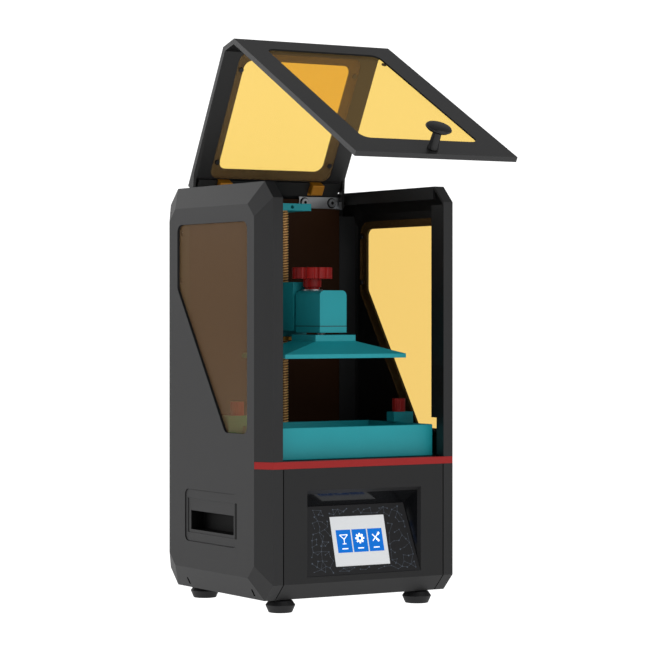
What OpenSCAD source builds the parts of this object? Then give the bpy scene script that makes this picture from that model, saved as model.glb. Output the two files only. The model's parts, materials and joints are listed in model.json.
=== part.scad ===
// Desktop resin printer with a hinged tinted lid, drawn standing on its feet with the lid open.
// Millimetres, Z up, front towards -Y.

/* [Body] */
// Width across the two side shells
body_w = 220; // [212:1:240]
// Depth from the front face to the rear cover
body_d = 200; // [196:1:220]
// Height from the floor to the flat top
body_h = 400; // [396:1:430]
// Height of the underside above the floor
foot_h = 12.5; // [9:0.5:16]
// Sheet thickness of the shells and covers
wall = 2.5; // [2:0.1:3]
// Width of each side shell seen from the front
shell_w = 21; // [19:0.5:24]
// How far the side faces stand out from their bevelled rim
bevel_out = 10.5; // [8:0.5:13]
// Length of the bevel along the front and rear of a side face
bevel_y = 17; // [14:0.5:20]
// Length of the bevel along the top and bottom of a side face
bevel_z = 20.7; // [17:0.1:24]
// Corner cut of the side outline
rim_cut = 15.5; // [12:0.5:17]
// Corner cut of the flat side face
face_cut = 12; // [9:0.5:14]
// Depth of the shells' inner return behind the front edge
return_y = 21; // [18:0.5:22]
// Depth of the inner return beside the vat
return_low = 12; // [8:0.5:14]
// Depth of the shells' inner return below the top edge
return_z = 12; // [10:0.5:14]
// Open seam between neighbouring covers
seam = 1; // [0.6:0.1:1.4]
// Height of the work deck's top face
deck_z = 141.3; // [138:0.1:150]
// Distance of the chamber's rear wall from the rear face
rear_box = 14.8; // [13:0.1:18]
// Height of the coloured trim strip
trim_h = 6.8; // [5:0.1:9]
// Thickness of the trim strip
trim_t = 5.5; // [4:0.1:5.6]
// Small gap between pieces that are laid against each other
fit = 0.1; // [0.05:0.01:0.2]
// Gap between pieces that pass each other
pass = 0.3; // [0.2:0.05:0.5]

/* [Side windows] */
// Top edge of the side windows
window_top = 363.5; // [355:0.5:366]
// Bottom edge of the side windows
window_bottom = 166; // [160:0.5:175]
// Distance of the side windows' front edge from the front face
window_front = 30; // [26:0.5:36]
// Distance of the side windows' rear edge from the rear face
window_rear = 33.5; // [28:0.5:40]
// Height where the rear edge starts to slope
window_kink = 302; // [280:1:320]
// Distance of the slope's lower end from the front face
window_toe = 72; // [64:1:80]
// Corner radius of the windows
window_r = 7.5; // [4:0.5:9]
// Thickness of the tinted panes
pane_t = 3; // [2:0.1:3.2]
// Overlap of a pane around its window
pane_lap = 7.5; // [6:0.5:9]

/* [Handles] */
// Length of the handle cup's rim
grip_l = 102; // [90:1:110]
// Height of the handle cup's rim
grip_h = 50; // [46:1:56]
// Middle height of the handle cup
grip_z = 84; // [80:1:90]
// Length of the finger slot
slot_l = 83; // [76:1:88]
// Height of the finger slot
slot_h = 18; // [16:0.5:22]
// Depth of the finger pocket
grip_depth = 16; // [14:0.5:20]
// Corner radius of the handle cup
grip_r = 6; // [3:0.5:9]
// Width of the handle cup's rim around its sunken face
grip_rim = 8.5; // [6:0.5:10]
// Width of the vent slots in the shells' lower bevels
slit_w = 3; // [2:0.2:4]
// Length of the vent slots in the shells' lower bevels
slit_l = 6.5; // [5:0.5:8]
// Distance of the forward vent slots from the front face
slit_front = 31; // [28:0.5:36]
// Distance of the rearward vent slots from the rear face
slit_rear = 43.5; // [36:0.5:48]

/* [Feet] */
// Largest diameter of a foot
foot_d = 28; // [24:0.5:32]
// Diameter of a foot where it meets the floor
foot_sole_d = 22; // [18:0.5:23]
// Distance of a foot's middle from the base plate's side edge
foot_x = 12; // [8:0.5:18]
// Distance of a foot's middle from the front or rear face
foot_y = 27; // [26:0.5:38]
// Diameter of the foot screws
foot_screw_d = 6; // [4:0.5:8]

/* [Screen] */
// Half width of the screen recess at the front
recess_half = 63; // [58:0.5:68]
// Bottom of the screen recess
recess_bottom = 34; // [31:0.5:38]
// Top of the screen recess
recess_top = 113.8; // [108:0.2:118]
// Depth of the recess at the top of the tilted panel
recess_depth = 17; // [13:0.5:19]
// Drop of the sloping ceiling
recess_drop = 15.8; // [12:0.2:19]
// How much each side of the recess narrows
recess_taper = 9; // [6:0.5:12]
// Width of the visible screen
screen_w = 60.4; // [54:0.2:66]
// Height of the visible screen
screen_h = 47.4; // [42:0.2:50]
// Height of the screen's lower edge along the tilted panel
screen_up = 8; // [6:0.5:10]
// Thickness of the screen module
screen_t = 4; // [3:0.1:5]
// Thickness of the tilted overlay panel
overlay_t = 2; // [1.5:0.1:3]
// Thickness of the printed circuit boards
board_t = 1.6; // [1.2:0.1:2]

/* [Lid] */
// Gap between the lid and a side shell's inner edge
lid_gap = 1.8; // [1.6:0.1:5]
// Thickness of the lid frame
lid_t = 5; // [4.6:0.1:5.6]
// How far the closed lid sits behind the front face
lid_set = 6; // [5.9:0.1:8]
// Bevel between the top and front of the lid
lid_bevel = 15.6; // [12:0.2:18]
// Angle of the open lid
lid_open = 61.4; // [50:0.1:62]
// Distance of the hinge axis from the rear face
hinge_in = 18.9; // [18:0.1:22]
// Depth of the hinge axis below the top
hinge_down = 13; // [12:0.1:16]
// Distance from the hinge axis to the lid's rear edge
lid_tail = 11.4; // [11.4:0.1:14]
// Height of the closed lid's lower edge above the groove
lid_lift = 1.5; // [0.5:0.1:3]
// Half width of the lid's top window
top_win_half = 60; // [54:0.5:64]
// Half width of the lid's front window
front_win_half = 63; // [56:0.5:66]
// Margin of the top window behind the bevel
top_win_front = 11.4; // [10:0.2:16]
// Margin of the top window at the rear
top_win_rear = 20.2; // [20:0.2:30]
// Margin of the front window below the bevel
front_win_top = 20.5; // [16:0.5:26]
// Margin of the front window at its lower edge
front_win_low = 30; // [27:0.5:34]
// Corner radius of the lid windows
lid_win_r = 9; // [6:0.5:11]
// Width of the pane's seat around a lid window
lid_seat = 9; // [8.6:0.2:10]
// Diameter of the lid knob's head
lid_knob_d = 25; // [20:0.5:28]
// Length of the lid knob
lid_knob_l = 24; // [20:0.5:28]
// Height of the lid knob above the lid's lower edge
lid_knob_up = 11; // [9:0.5:14]
// Diameter of the hinge pins
hinge_pin_d = 4; // [3:0.1:4.4]
// Width of the hinge plates
plate_w = 44; // [38:0.5:48]
// Height of the hinge plates
plate_h = 11.5; // [10:0.5:13]
// Diameter of the lid arms' eyes
arm_eye_d = 7.6; // [7:0.1:7.6]
// Diameter of the hinge plates' screw heads
plate_screw_d = 8; // [6:0.5:9]
// Distance of the stop blocks from the middle
stop_x = 53; // [46:0.5:58]
// Width of the stop blocks
stop_w = 14; // [10:0.5:16]
// Thickness of the stop blocks
stop_h = 9; // [7:0.5:10]
// Thickness of the stop blocks' tabs
stop_tab = 3; // [2:0.2:4]

/* [Resin vat] */
// Gap between the vat and a side shell's inner edge
vat_gap = 1.5; // [1.4:0.1:5]
// Gap between the vat's rear wall and the lead screw's coupler
vat_clear = 8.5; // [6:0.5:12.5]
// Height of the vat's walls
vat_h = 30; // [26:0.5:34]
// Thickness of the vat's walls
vat_wall = 2.6; // [2:0.1:3]
// Middle of the exposed area, forward of the body's middle
work_y = 26.5; // [25.5:0.5:28]
// Distance from the vat's front wall to the body's front face
vat_set = 16.5; // [16:0.1:19]
// Diameter of the vat's thumbscrews
thumb_d = 13; // [11:0.5:15]
// Height of the thumbscrews above their lugs
thumb_h = 13; // [11:0.5:16]
// Distance of the clamps' middle from the front face
clamp_y = 82; // [76:0.5:86]
// Half width of the opening in the vat's floor
open_half = 74; // [72:0.5:76]
// Depth of the vat's floor before and behind its opening
open_d = 9; // [6:0.5:12]
// Thickness of the vat's floor frame
floor_t = 3; // [2:0.2:4]
// Thickness of the clear film
film_t = 0.2; // [0.1:0.05:0.4]
// Height of the film above the vat's underside
film_up = 1.5; // [1.2:0.1:2]
// Width of the ring that holds the film
ring_w = 5; // [4:0.5:6]
// Height of the clamp lugs
lug_h = 9.5; // [8:0.5:11]
// Width of the clamp lugs from front to rear
lug_d = 13; // [11:0.5:16]
// Reach of the clamp lugs over the vat's rim
lug_lap = 6; // [4:0.5:6]
// Diameter of the thumbscrews' shanks
thumb_pin_d = 4; // [3:0.2:5]
// Depth of the thumbscrews' shanks in their posts
thumb_pin_l = 10; // [8:0.5:14]
// Distance of the thumbscrews outside the vat
thumb_out = 3.7; // [3.6:0.1:5]

/* [Lift] */
// Distance of the lead screw from the chamber's rear wall
screw_y = 36.7; // [33:0.1:40]
// Diameter of the lead screw
screw_d = 8; // [6:0.5:10]
// Gap between the build plate and the film when the lift is at its lowest
film_gap = 3.2; // [3.1:0.1:6]
// Radial clearance of shafts in their bores
run = 0.05; // [0.03:0.01:0.08]
// Height of the build plate's underside as drawn
plate_z = 235.5; // [225:0.5:250]
// Half width of the build plate
build_half = 67.5; // [62:0.5:69]
// Distance of the build plate from the vat's front and rear faces
build_d = 16; // [13:0.5:19]
// Thickness of the build plate's edge
build_edge = 4; // [3:0.1:5]
// Rise of the sloping back of the build plate
build_rise = 12; // [8:0.2:13]
// Width of the square boss on the build plate
boss_w = 45; // [40:0.5:50]
// Distance of the square boss behind the build plate's middle
boss_back = 1; // [0:0.5:3]
// Height of the square boss
boss_h = 6; // [5:0.2:8]
// Width of the clamp block
block_w = 30; // [26:0.5:34]
// Depth of the clamp block
block_d = 45; // [40:0.5:46]
// Height of the clamp block
block_h = 40.5; // [38:0.5:44]
// Distance of the clamp block's middle behind the exposed area's middle
block_back = 5.5; // [4:0.5:7]
// Gap under the clamp block that lets the plate tilt
tilt_gap = 2; // [1.9:0.1:3]
// Radius of the levelling ball
ball_r = 9; // [8:0.2:9.6]
// Diameter of the levelling ball's stem
stem_d = 8; // [6:0.2:8.6]
// Depth of the stem in the build plate's boss
stem_in = 4; // [3:0.2:5]
// Clearance around the stem that lets the plate tilt
stem_play = 0.4; // [0.35:0.05:0.6]
// Height of the ball's middle above the clamp block's underside
ball_up = 7.5; // [7:0.1:8]
// Diameter of the clamp knob
knob_d = 39; // [34:0.5:42]
// Thickness of the clamp knob
knob_t = 11; // [8:0.5:12]
// Diameter of the clamp knob's hub
hub_d = 17.7; // [14:0.1:20]
// Height of the clamp knob's hub
hub_h = 8; // [6:0.5:10]
// Height of the washer under the clamp knob's hub
washer_h = 3.5; // [2:0.5:5]
// Diameter of the clamp knob's shank
shank_d = 6; // [5:0.2:8]
// Number of scallops around the clamp knob
scallops = 10; // [8:1:12]
// Diameter of the scallops around the clamp knob
scallop_d = 6.4; // [5:0.2:7]
// Half width of the lift arm
arm_half = 15; // [14:0.5:18]
// Width of the arm's tongue inside the clamp block
tongue_w = 18; // [16:0.5:20]
// Height of the arm's tongue
tongue_h = 8; // [6:0.5:9]
// Depth of the tongue's top below the clamp block's top
tongue_down = 9; // [8:0.5:11]
// Front wall of the clamp block ahead of the tongue
block_nose = 8; // [6:0.5:10]
// Gap between the clamp block and the arm behind it
arm_gap = 4.5; // [3:0.5:6]
// Height of the arm's top above the clamp block's top
arm_up = 8.5; // [6:0.5:10]
// Thickness of the arm's material behind the lead screw
arm_back = 11; // [10:0.5:12]
// Diameter of the nut's flange
nut_d = 22; // [18:0.5:24]
// Thickness of the nut's flange
nut_h = 4; // [3:0.5:5]
// Diameter of the nut's body in the arm
nut_body_d = 14; // [12:0.2:15]
// Length of the nut's body in the arm
nut_body_l = 14; // [10:0.5:18]
// Width of the guide rail
rail_w = 12; // [9:0.5:15]
// Thickness of the guide rail
rail_t = 8; // [6:0.5:9]
// Thickness of the column behind the guide rail
column_t = 8; // [6:0.5:10]
// Half width of the column
column_half = 22; // [18:0.5:26]
// Width of the runner on the guide rail
runner_w = 27; // [24:0.5:30]
// Length of the runner on the guide rail
runner_l = 34; // [28:0.5:40]
// Half width of the top bracket
bracket_half = 21.5; // [18:0.5:26]
// Thickness of the top bracket
bracket_t = 7; // [6:0.5:9]
// Depth of the top bracket's underside below the body's top
bracket_down = 21; // [20:0.2:26]
// Reach of the top bracket ahead of the lead screw
bracket_nose = 15.5; // [12:0.5:18]
// Diameter of the hole in the top bracket's front face
bracket_hole_d = 3.4; // [2.5:0.1:4]
// Outer diameter of the lead screw's bearing
bearing_d = 16; // [13:0.5:19]
// Diameter of the coupler between motor and lead screw
coupler_d = 19; // [16:0.5:20]
// Length of the coupler
coupler_l = 14; // [10:0.5:15]
// Width of the motor
motor_w = 42.3; // [39:0.1:43]
// Length of the motor
motor_l = 40; // [34:0.5:48]
// Corner cut of the motor
motor_cut = 5; // [3:0.5:7]

/* [Exposure lamp] */
// Half width of the mask screen
mask_half = 66; // [62:0.5:70]
// Distance of the mask screen from the vat's front and rear faces
mask_d = 17; // [14:0.5:20]
// Thickness of the mask screen
mask_t = 2.4; // [1.6:0.1:2.4]
// Lip under the mask screen
mask_lip = 5; // [4:0.5:6]
// Width of the mask frame outside the mask screen
mask_rim = 7; // [5:0.5:9]
// Thickness of the mask frame
frame_t = 3; // [2:0.2:4]
// Thickness of the light box's walls
box_t = 2; // [1.5:0.1:2.5]
// Half width of the light box at its lower end
box_low = 26; // [22:0.5:28]
// Height of the lamp board's top face
lamp_z = 58; // [54:0.5:64]
// Width of the lamp board, heat sink and fan
lamp_w = 60; // [58:0.5:64]
// Diameter of the lamp's emitters
led_d = 5; // [3:0.5:6]
// Spacing of the lamp's emitters
led_step = 10; // [8:0.5:11]
// Height of the heat sink
sink_h = 18; // [14:0.5:20]
// Thickness of the heat sink's base
sink_base = 5; // [3:0.5:6]
// Thickness of the heat sink's fins
fin_t = 2.6; // [2:0.1:3]
// Thickness of the lamp fan
fan_t = 15; // [12:0.5:18]
// Diameter of the fan's pin
fan_pin_d = 3; // [2:0.1:4]
// Diameter of the fan's hub
fan_hub_d = 22; // [18:0.5:26]

/* [Electronics] */
// Height of the posts under the main board
post_h = 5; // [4:0.5:8]
// Diameter of the posts under the main board
post_d = 6; // [5:0.5:7]
// Length of the main board
board_l = 110; // [100:1:120]
// Width of the main board
board_w = 60; // [54:1:62]
// Middle height of the sockets in the rear cover
socket_z = 40; // [36:0.5:46]
// Distance of the power inlet from the side face
inlet_x = 48; // [40:0.5:60]
// Diameter of the power inlet's barrel
inlet_d = 10.8; // [9:0.1:12]
// Diameter of the power inlet's bore
inlet_bore = 6.2; // [5.5:0.1:6.6]
// Depth of the power inlet's bore
inlet_deep = 9; // [7:0.5:10]
// Distance of the power switch from the side face
switch_x = 50; // [40:0.5:60]
// Width of the power switch
switch_w = 24; // [20:0.5:28]
// Height of the power switch
switch_h = 14; // [12:0.5:16]
// Distance of the data socket from the middle
usb_x = 9; // [4:0.5:14]
// Width of the data socket
usb_w = 16; // [15:0.2:18]
// Height of the data socket
usb_h = 8.8; // [8:0.1:10]
// Depth of the sockets behind the rear cover
socket_deep = 12; // [10:0.5:14]
// Width of the vents in the rear cover
vent_w = 3; // [2:0.2:4]
// Spacing of the vents in the rear cover
vent_step = 8; // [6:0.5:9]
// Number of lower vents
vent_n = 10; // [6:1:12]
// Number of upper vents
top_vent_n = 8; // [6:1:12]
// Height of the lower vents
vent_h = 50; // [40:1:56]
// Height of the lower vents' bottom edge
vent_z = 60; // [56:1:66]
// Height of the upper vents
top_vent_h = 40; // [30:1:44]
// Height of the upper vents' bottom edge
top_vent_z = 300; // [280:1:320]

/* [Hidden] */
$fn = 48;

// Outer limits of the body
hw = body_w / 2;
front = -body_d / 2;
rear = body_d / 2;
rim_x = hw - bevel_out;
inner_x = hw - wall;
cover_half = hw - shell_w - seam;
edge_x = hw - shell_w;
wall_y = rear - rear_box;
screw_mid = wall_y - screw_y;
pane_y0 = front + window_front;
pane_y1 = rear - window_rear;
pane_toe = front + window_toe;
clamp_mid = front + clamp_y;
inlet_mid = hw - inlet_x;
switch_mid = switch_x - hw;
foot_mid_x = cover_half - foot_x;
foot_mid_y = rear - foot_y;
groove_z = deck_z - trim_h;
side = [-1, 1];

// Share of a wall by which the inner form of a shell draws in at its rim, face and corners
rim_in = 0.55;
face_in = 0.3;
corner_in = 2 - sqrt(2);

// Corner cut on the inside of the rear cover's bends
inner_cut = rim_cut + wall * (sqrt(2) - 1);

// Thickness of the thin slices that tapered forms are drawn between
skin = 0.1;

// Hinge axis and the closed lid
axis_y = rear - hinge_in;
axis_z = body_h - hinge_down;
lid_half = edge_x - lid_gap;
lid_front = front + lid_set;
lid_low = groove_z + lid_lift;
lid_end = axis_y - lid_tail;
lid_under = body_h - lid_t;
lid_pocket = pane_t + pass;
knob_z = lid_low + lid_knob_up;
ear_x = lid_half - wall - pass;
plate_x = ear_x - wall - plate_w;
groove_end = lid_front + lid_t + 2;
top_y0 = lid_front + lid_bevel + top_win_front;
top_y1 = lid_end - top_win_rear;
win_z0 = lid_low + front_win_low;
win_z1 = body_h - lid_bevel - front_win_top;
stop_start = top_y1 + lid_seat + pass;
rest_y = min(wall_y, rear - rim_cut) - pass;
stop_end = axis_y + (rest_y - axis_y - (lid_under - axis_z) * sin(lid_open)) / cos(lid_open);

// Forward limit of the open lid's knob, and the shift that puts the origin under the middle
reach = axis_y + (lid_front - lid_knob_l - axis_y) * cos(lid_open)
    + (knob_z - lid_knob_d / 2 - axis_z) * sin(lid_open);
origin_y = -(reach + rear) / 2;

// Places of the lift's pieces
build_z = plate_z + build_edge;
boss_z = build_z + build_rise;
boss_top = boss_z + boss_h;
block_z = boss_top + tilt_gap;
block_top = block_z + block_h;
ball_z = block_z + ball_up;
hub_z = block_top + washer_h;
arm_top = block_top + arm_up;
tongue_top = block_top - tongue_down;
tongue_z = tongue_top - tongue_h;
bracket_z = body_h - bracket_down;
rail_y = wall_y - column_t - rail_t;
block_mid = -work_y + block_back;
block_y0 = block_mid - block_d / 2;
block_y1 = block_mid + block_d / 2;
tongue_y0 = block_y0 + block_nose;
clamp_axis_y = block_y1 - shank_d;
arm_y0 = block_y1 + arm_gap;
arm_y1 = screw_mid + arm_back;
arm_z = boss_z + nut_h;
shaft_z = deck_z - wall + 2 + pass;

// Places of the vat and its clamps
vat_half = edge_x - vat_gap;
vat_y0 = front + vat_set;
vat_d = screw_mid - coupler_d / 2 - vat_clear - vat_y0;
vat_y1 = vat_y0 + vat_d;
vat_mid = vat_y0 + vat_d / 2;
open_len = vat_d - 2 * open_d;
build_len = vat_d - 2 * build_d;
mask_len = vat_d - 2 * mask_d;
vat_z = deck_z + pass;
vat_top = vat_z + vat_h;
film_z = vat_z + film_up;
travel_down = plate_z - film_z - film_t - film_gap;
lug_z = vat_top + pass;
lug_top = lug_z + lug_h;
lug_x = inner_x - fit - pane_t - pass;
post_x = vat_half + 2 * pass;
thumb_x = vat_half + thumb_out;

// Heights of the lamp's pieces
deck_under = deck_z - wall;
frame_under = deck_under - frame_t;
sink_top = lamp_z - board_t;
fan_z = sink_top - sink_h - fan_t;
base_top = foot_h + wall;

// Tilted panel of the screen
panel_rise = recess_top - recess_drop - recess_bottom;
panel_tilt = atan(recess_depth / panel_rise);
panel_len = sqrt(pow(panel_rise, 2) + pow(recess_depth, 2));
recess_in = recess_half - recess_taper;
panel_t = wall + 1;

// A block between two opposite corners
module between(lo, hi) {
    translate(lo)
        cube(hi - lo);
}

// A block on one side, given by its distances from the middle
module beside(s, lo, hi) {
    between([s > 0 ? lo[0] : -hi[0], lo[1], lo[2]], [s > 0 ? hi[0] : -lo[0], hi[1], hi[2]]);
}

// An outline in Y and Z drawn out along X
module along_x(x0, x1, points) {
    translate([x0, 0, 0])
        rotate([90, 0, 90])
            linear_extrude(x1 - x0)
                polygon(points);
}

// A round bar standing on a point
module bar(at, d, h) {
    translate(at)
        cylinder(d = d, h = h);
}

// A round bar along X from a point
module bar_x(at, d, l) {
    translate(at)
        rotate([0, 90, 0])
            cylinder(d = d, h = l);
}

// A round bar along Y from a point
module bar_y(at, d, l) {
    translate(at)
        rotate([-90, 0, 0])
            cylinder(d = d, h = l);
}

// A rectangle with round corners
module round_rect(lo, hi, r) {
    hull()
        for (x = [lo[0] + r, hi[0] - r], y = [lo[1] + r, hi[1] - r])
            translate([x, y])
                circle(r, $fn = 32);
}

// A rectangle in Y and Z with all four corners cut at 45 degrees
function cut_outline(y0, y1, z0, z1, c) = [
    [y0 + c, z0], [y1 - c, z0], [y1, z0 + c], [y1, z1 - c],
    [y1 - c, z1], [y0 + c, z1], [y0, z1 - c], [y0, z0 + c]
];

// Solid form of one side shell on the +X side, drawn in by a thickness
module side_form(t, x0) {
    y_in = bevel_y + t * face_in;
    z_in = bevel_z + t * face_in;
    hull() {
        along_x(x0, rim_x - t * rim_in,
            cut_outline(front + t, rear - t, foot_h + t, body_h - t, rim_cut - t * corner_in));
        along_x(hw - t - 1, hw - t,
            cut_outline(front + y_in, rear - y_in, foot_h + z_in, body_h - z_in, face_cut));
    }
}

// Corners of a side window, and the middle of the arc that rounds one of them
window_corners = [
    [pane_y0, window_top], [pane_y1, window_top], [pane_y1, window_kink],
    [pane_toe, window_bottom], [pane_y0, window_bottom]
];
function unit(v) = v / norm(v);
function arc_middle(i) =
    let (
        n = len(window_corners),
        p = window_corners[i],
        u = unit(window_corners[(i + n - 1) % n] - p),
        v = unit(window_corners[(i + 1) % n] - p)
    )
    p + unit(u + v) * window_r / sqrt((1 - u * v) / 2);

// A side window let out by a margin and drawn out along X
module window_prism(x0, x1, m) {
    translate([x0, 0, 0])
        rotate([90, 0, 90])
            linear_extrude(x1 - x0)
                hull()
                    for (i = [0:len(window_corners) - 1])
                        translate(arc_middle(i))
                            circle(window_r + m, $fn = 32);
}

// The rim of a handle cup let out by a margin and drawn out along X
module grip_prism(x0, x1, m) {
    translate([x0, 0, grip_z])
        rotate([90, 0, 90])
            linear_extrude(x1 - x0)
                round_rect([-grip_l / 2 - m, -grip_h / 2 - m], [grip_l / 2 + m, grip_h / 2 + m], grip_r + m);
}

// One bevelled side shell on the +X side, with its window, handle opening and inner returns
module side_shell() {
    difference() {
        union() {
            difference() {
                side_form(0, edge_x);
                side_form(wall, edge_x - 1);
            }
            between([edge_x, front + 1, window_bottom + return_z],
                [edge_x + wall, front + return_y, body_h - rim_cut - wall]);
            between([edge_x, front + 1, deck_z + pass],
                [edge_x + wall, front + return_low, window_bottom + return_z]);
            between([edge_x, front + rim_cut + wall, body_h - return_z],
                [edge_x + wall, wall_y - fit, body_h - 1]);
            between([edge_x - wall, wall_y, deck_z + pass],
                [inner_x - 1, wall_y + wall, body_h - bevel_z - wall]);
        }
        window_prism(inner_x - wall, hw + 1, 0);
        grip_prism(inner_x - wall, hw + 1, 0);
        between([edge_x - 1, front - 1, groove_z], [hw + 1, front + bevel_y, deck_z]);
        for (y = [front + slit_front, rear - slit_rear])
            between([rim_x - 1, y - slit_w / 2, foot_h + slit_l / 2],
                [hw, y + slit_w / 2, foot_h + slit_l * 1.5]);
    }
}

module left_shell() {
    color("#464646")
        mirror([1, 0, 0])
            side_shell();
}

module right_shell() {
    color("#464646")
        side_shell();
}

// Local frame of the tilted panel: X across, Y up the slope, Z out of its face
module on_panel() {
    translate([0, front, recess_bottom])
        rotate([90 - panel_tilt, 0, 0])
            children();
}

// The hollow in front of the tilted panel, and the panel's own seat
module recess_cut() {
    hull() {
        between([-recess_half, front - 1, recess_bottom], [recess_half, front, recess_top]);
        between([-recess_in, front + recess_depth - skin, recess_top - recess_drop - skin],
            [recess_in, front + recess_depth, recess_top - recess_drop]);
    }
    on_panel()
        panel_sheet(fit, -overlay_t - fit, skin);
}

// The tilted panel's outline, let out by a margin, between two depths
module panel_sheet(m, z0, z1) {
    translate([0, 0, z0])
        linear_extrude(z1 - z0)
            polygon([
                [-recess_half - m, -m], [recess_half + m, -m],
                [recess_in + m, panel_len + m], [-recess_in - m, panel_len + m]
            ]);
}

module front_panel() {
    slope_y = front + rim_cut;
    slope_z = foot_h + rim_cut;
    color("#303030")
        difference() {
            along_x(-cover_half, cover_half, [
                [front, groove_z], [front, slope_z], [slope_y, foot_h], [slope_y + wall, foot_h],
                [slope_y + wall, foot_h + wall], [slope_y + wall / 2, foot_h + wall],
                [front + panel_t, slope_z + wall], [front + panel_t, groove_z - wall],
                [groove_end, groove_z - wall], [groove_end, groove_z]
            ]);
            recess_cut();
        }
}

module screen_bezel() {
    rim = 3;
    pocket = 4;
    color("#2c2c2c")
        difference() {
            between([-recess_half - rim, front + panel_t + fit, recess_bottom - rim],
                [recess_half + rim, front + recess_depth + 2 * pocket, recess_top + rim]);
            recess_cut();
            on_panel()
                translate([-screen_w / 2 - pocket, screen_up - pocket, -2 * recess_depth])
                    cube([screen_w + 2 * pocket, screen_h + 2 * pocket, 2 * recess_depth]);
        }
}

module overlay_panel() {
    color("#26282c")
        on_panel()
            difference() {
                panel_sheet(-fit, -overlay_t, 0);
                translate([-screen_w / 2, screen_up, -overlay_t - 1])
                    cube([screen_w, screen_h, overlay_t + 2]);
            }
}

module touch_screen() {
    sunk = 0.4;
    color("#cfcfcf")
        on_panel()
            translate([-screen_w / 2 + fit, screen_up + fit, -screen_t])
                cube([screen_w - 2 * fit, screen_h - 2 * fit, screen_t - sunk]);
}

module screen_board() {
    rim = 3;
    color("#1f5a36")
        on_panel()
            translate([-screen_w / 2 - rim, screen_up - rim, -screen_t - board_t])
                cube([screen_w + 2 * rim, screen_h + 2 * rim, board_t]);
}

// Opening for the power switch, let out by a margin
module switch_block(m, y0, y1) {
    between([switch_mid - switch_w / 2 - m, y0, socket_z - switch_h / 2 - m],
        [switch_mid + switch_w / 2 + m, y1, socket_z + switch_h / 2 + m]);
}

// Opening for the data socket, let out by a margin
module usb_block(m, y0, y1) {
    between([-usb_x - usb_w / 2 - m, y0, socket_z - usb_h / 2 - m],
        [-usb_x + usb_w / 2 + m, y1, socket_z + usb_h / 2 + m]);
}

// A row of upright vents in the rear cover
module vent_row(n, z, h) {
    for (i = [0:n - 1])
        translate([(i - (n - 1) / 2) * vent_step, rear - wall / 2, z + h / 2])
            cube([vent_w, wall * 2, h], center = true);
}

module rear_cover() {
    color("#353535")
        difference() {
            along_x(-cover_half, cover_half, [
                [rear, foot_h + rim_cut], [rear, body_h - rim_cut], [rear - rim_cut, body_h],
                [rear - rim_cut, body_h - wall - inner_cut + rim_cut],
                [rear - wall, body_h - inner_cut], [rear - wall, foot_h + inner_cut],
                [rear - inner_cut, base_top], [rear - inner_cut, foot_h], [rear - rim_cut, foot_h]
            ]);
            vent_row(vent_n, vent_z, vent_h);
            vent_row(top_vent_n, top_vent_z, top_vent_h);
            bar_y([inlet_mid, rear - 2 * wall, socket_z], inlet_d + 2 * fit, 3 * wall);
            switch_block(fit, rear - 2 * wall, rear + 1);
            usb_block(fit, rear - 2 * wall, rear + 1);
        }
}

module back_wall() {
    half = edge_x - wall - fit;
    top = body_h - inner_cut + rear_box - 2 * wall - fit;
    color("#1d1b1a")
        between([-half, wall_y, deck_z + fit], [half, wall_y + wall, top]);
}

module base_plate() {
    grille = 18;
    grille_step = 6;
    grille_hole = 4;
    color("#3a3a3a")
        difference() {
            between([-cover_half, front + rim_cut + wall + fit, foot_h],
                [cover_half, rear - inner_cut - fit, base_top]);
            for (x = side, y = side)
                bar([x * foot_mid_x, y * foot_mid_y, foot_h - 1], foot_screw_d + 2 * run, wall + 2);
            for (x = [-grille:grille_step:grille], y = [-grille:grille_step:grille])
                bar([x, y - work_y, foot_h - 1], grille_hole, wall + 2);
        }
}

module deck_plate() {
    front_step = 3;
    rear_step = 2;
    hole_play = 5;
    mid_y0 = front + bevel_y + front_step;
    mid_y1 = rear - bevel_y - rear_step;
    color("#262626")
        difference() {
            union() {
                between([-inner_x + fit, mid_y0, deck_under], [inner_x - fit, mid_y1, deck_z]);
                between([-inner_x + bevel_out / 2, groove_end, deck_under],
                    [inner_x - bevel_out / 2, mid_y0, deck_z]);
                between([-edge_x, mid_y1, deck_under], [edge_x, wall_y + wall, deck_z]);
            }
            between([-mask_half - fit, -work_y - mask_len / 2 - fit, deck_under - 1],
                [mask_half + fit, -work_y + mask_len / 2 + fit, deck_z + 1]);
            bar([0, screw_mid, deck_under - 1], coupler_d + hole_play, wall + 2);
        }
}

// Plan outline of the trim strip at a depth behind its face
function trim_outline(t) = [
    [-hw + t * 0.8, front + bevel_y], [-rim_x + t * 0.6, front + t],
    [rim_x - t * 0.6, front + t], [hw - t * 0.8, front + bevel_y]
];

module trim_strip() {
    inner = trim_outline(trim_t);
    color("#9b2d30")
        translate([0, 0, groove_z])
            linear_extrude(trim_h)
                polygon(concat(trim_outline(0), [for (i = [3:-1:0]) inner[i]]));
}

// A tinted pane laid against the inside of a side shell on the +X side
pane_x = inner_x - fit - pane_t;
module side_pane() {
    window_prism(pane_x, pane_x + pane_t, pane_lap);
}

module left_window() {
    color("#c98a2a", 0.6)
        mirror([1, 0, 0])
            side_pane();
}

module right_window() {
    color("#c98a2a", 0.6)
        side_pane();
}

// Places of the pane screws around a side window
screw_lap = pane_lap / 2;
screw_spots = [
    [pane_y0 - screw_lap, window_top - window_r], [pane_y1 + screw_lap, window_top - window_r],
    [pane_y1 + screw_lap, window_kink + window_r], [pane_y0 - screw_lap, window_bottom + window_r],
    [pane_toe - window_r, window_bottom - screw_lap], [pane_y0 + window_r, window_bottom - screw_lap]
];

module window_screws() {
    head_d = 5;
    head_h = 2;
    color("#8a8a8a")
        for (s = side, p = screw_spots)
            bar_x([s > 0 ? pane_x - head_h : -pane_x, p[0], p[1]], head_d, head_h);
}

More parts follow.
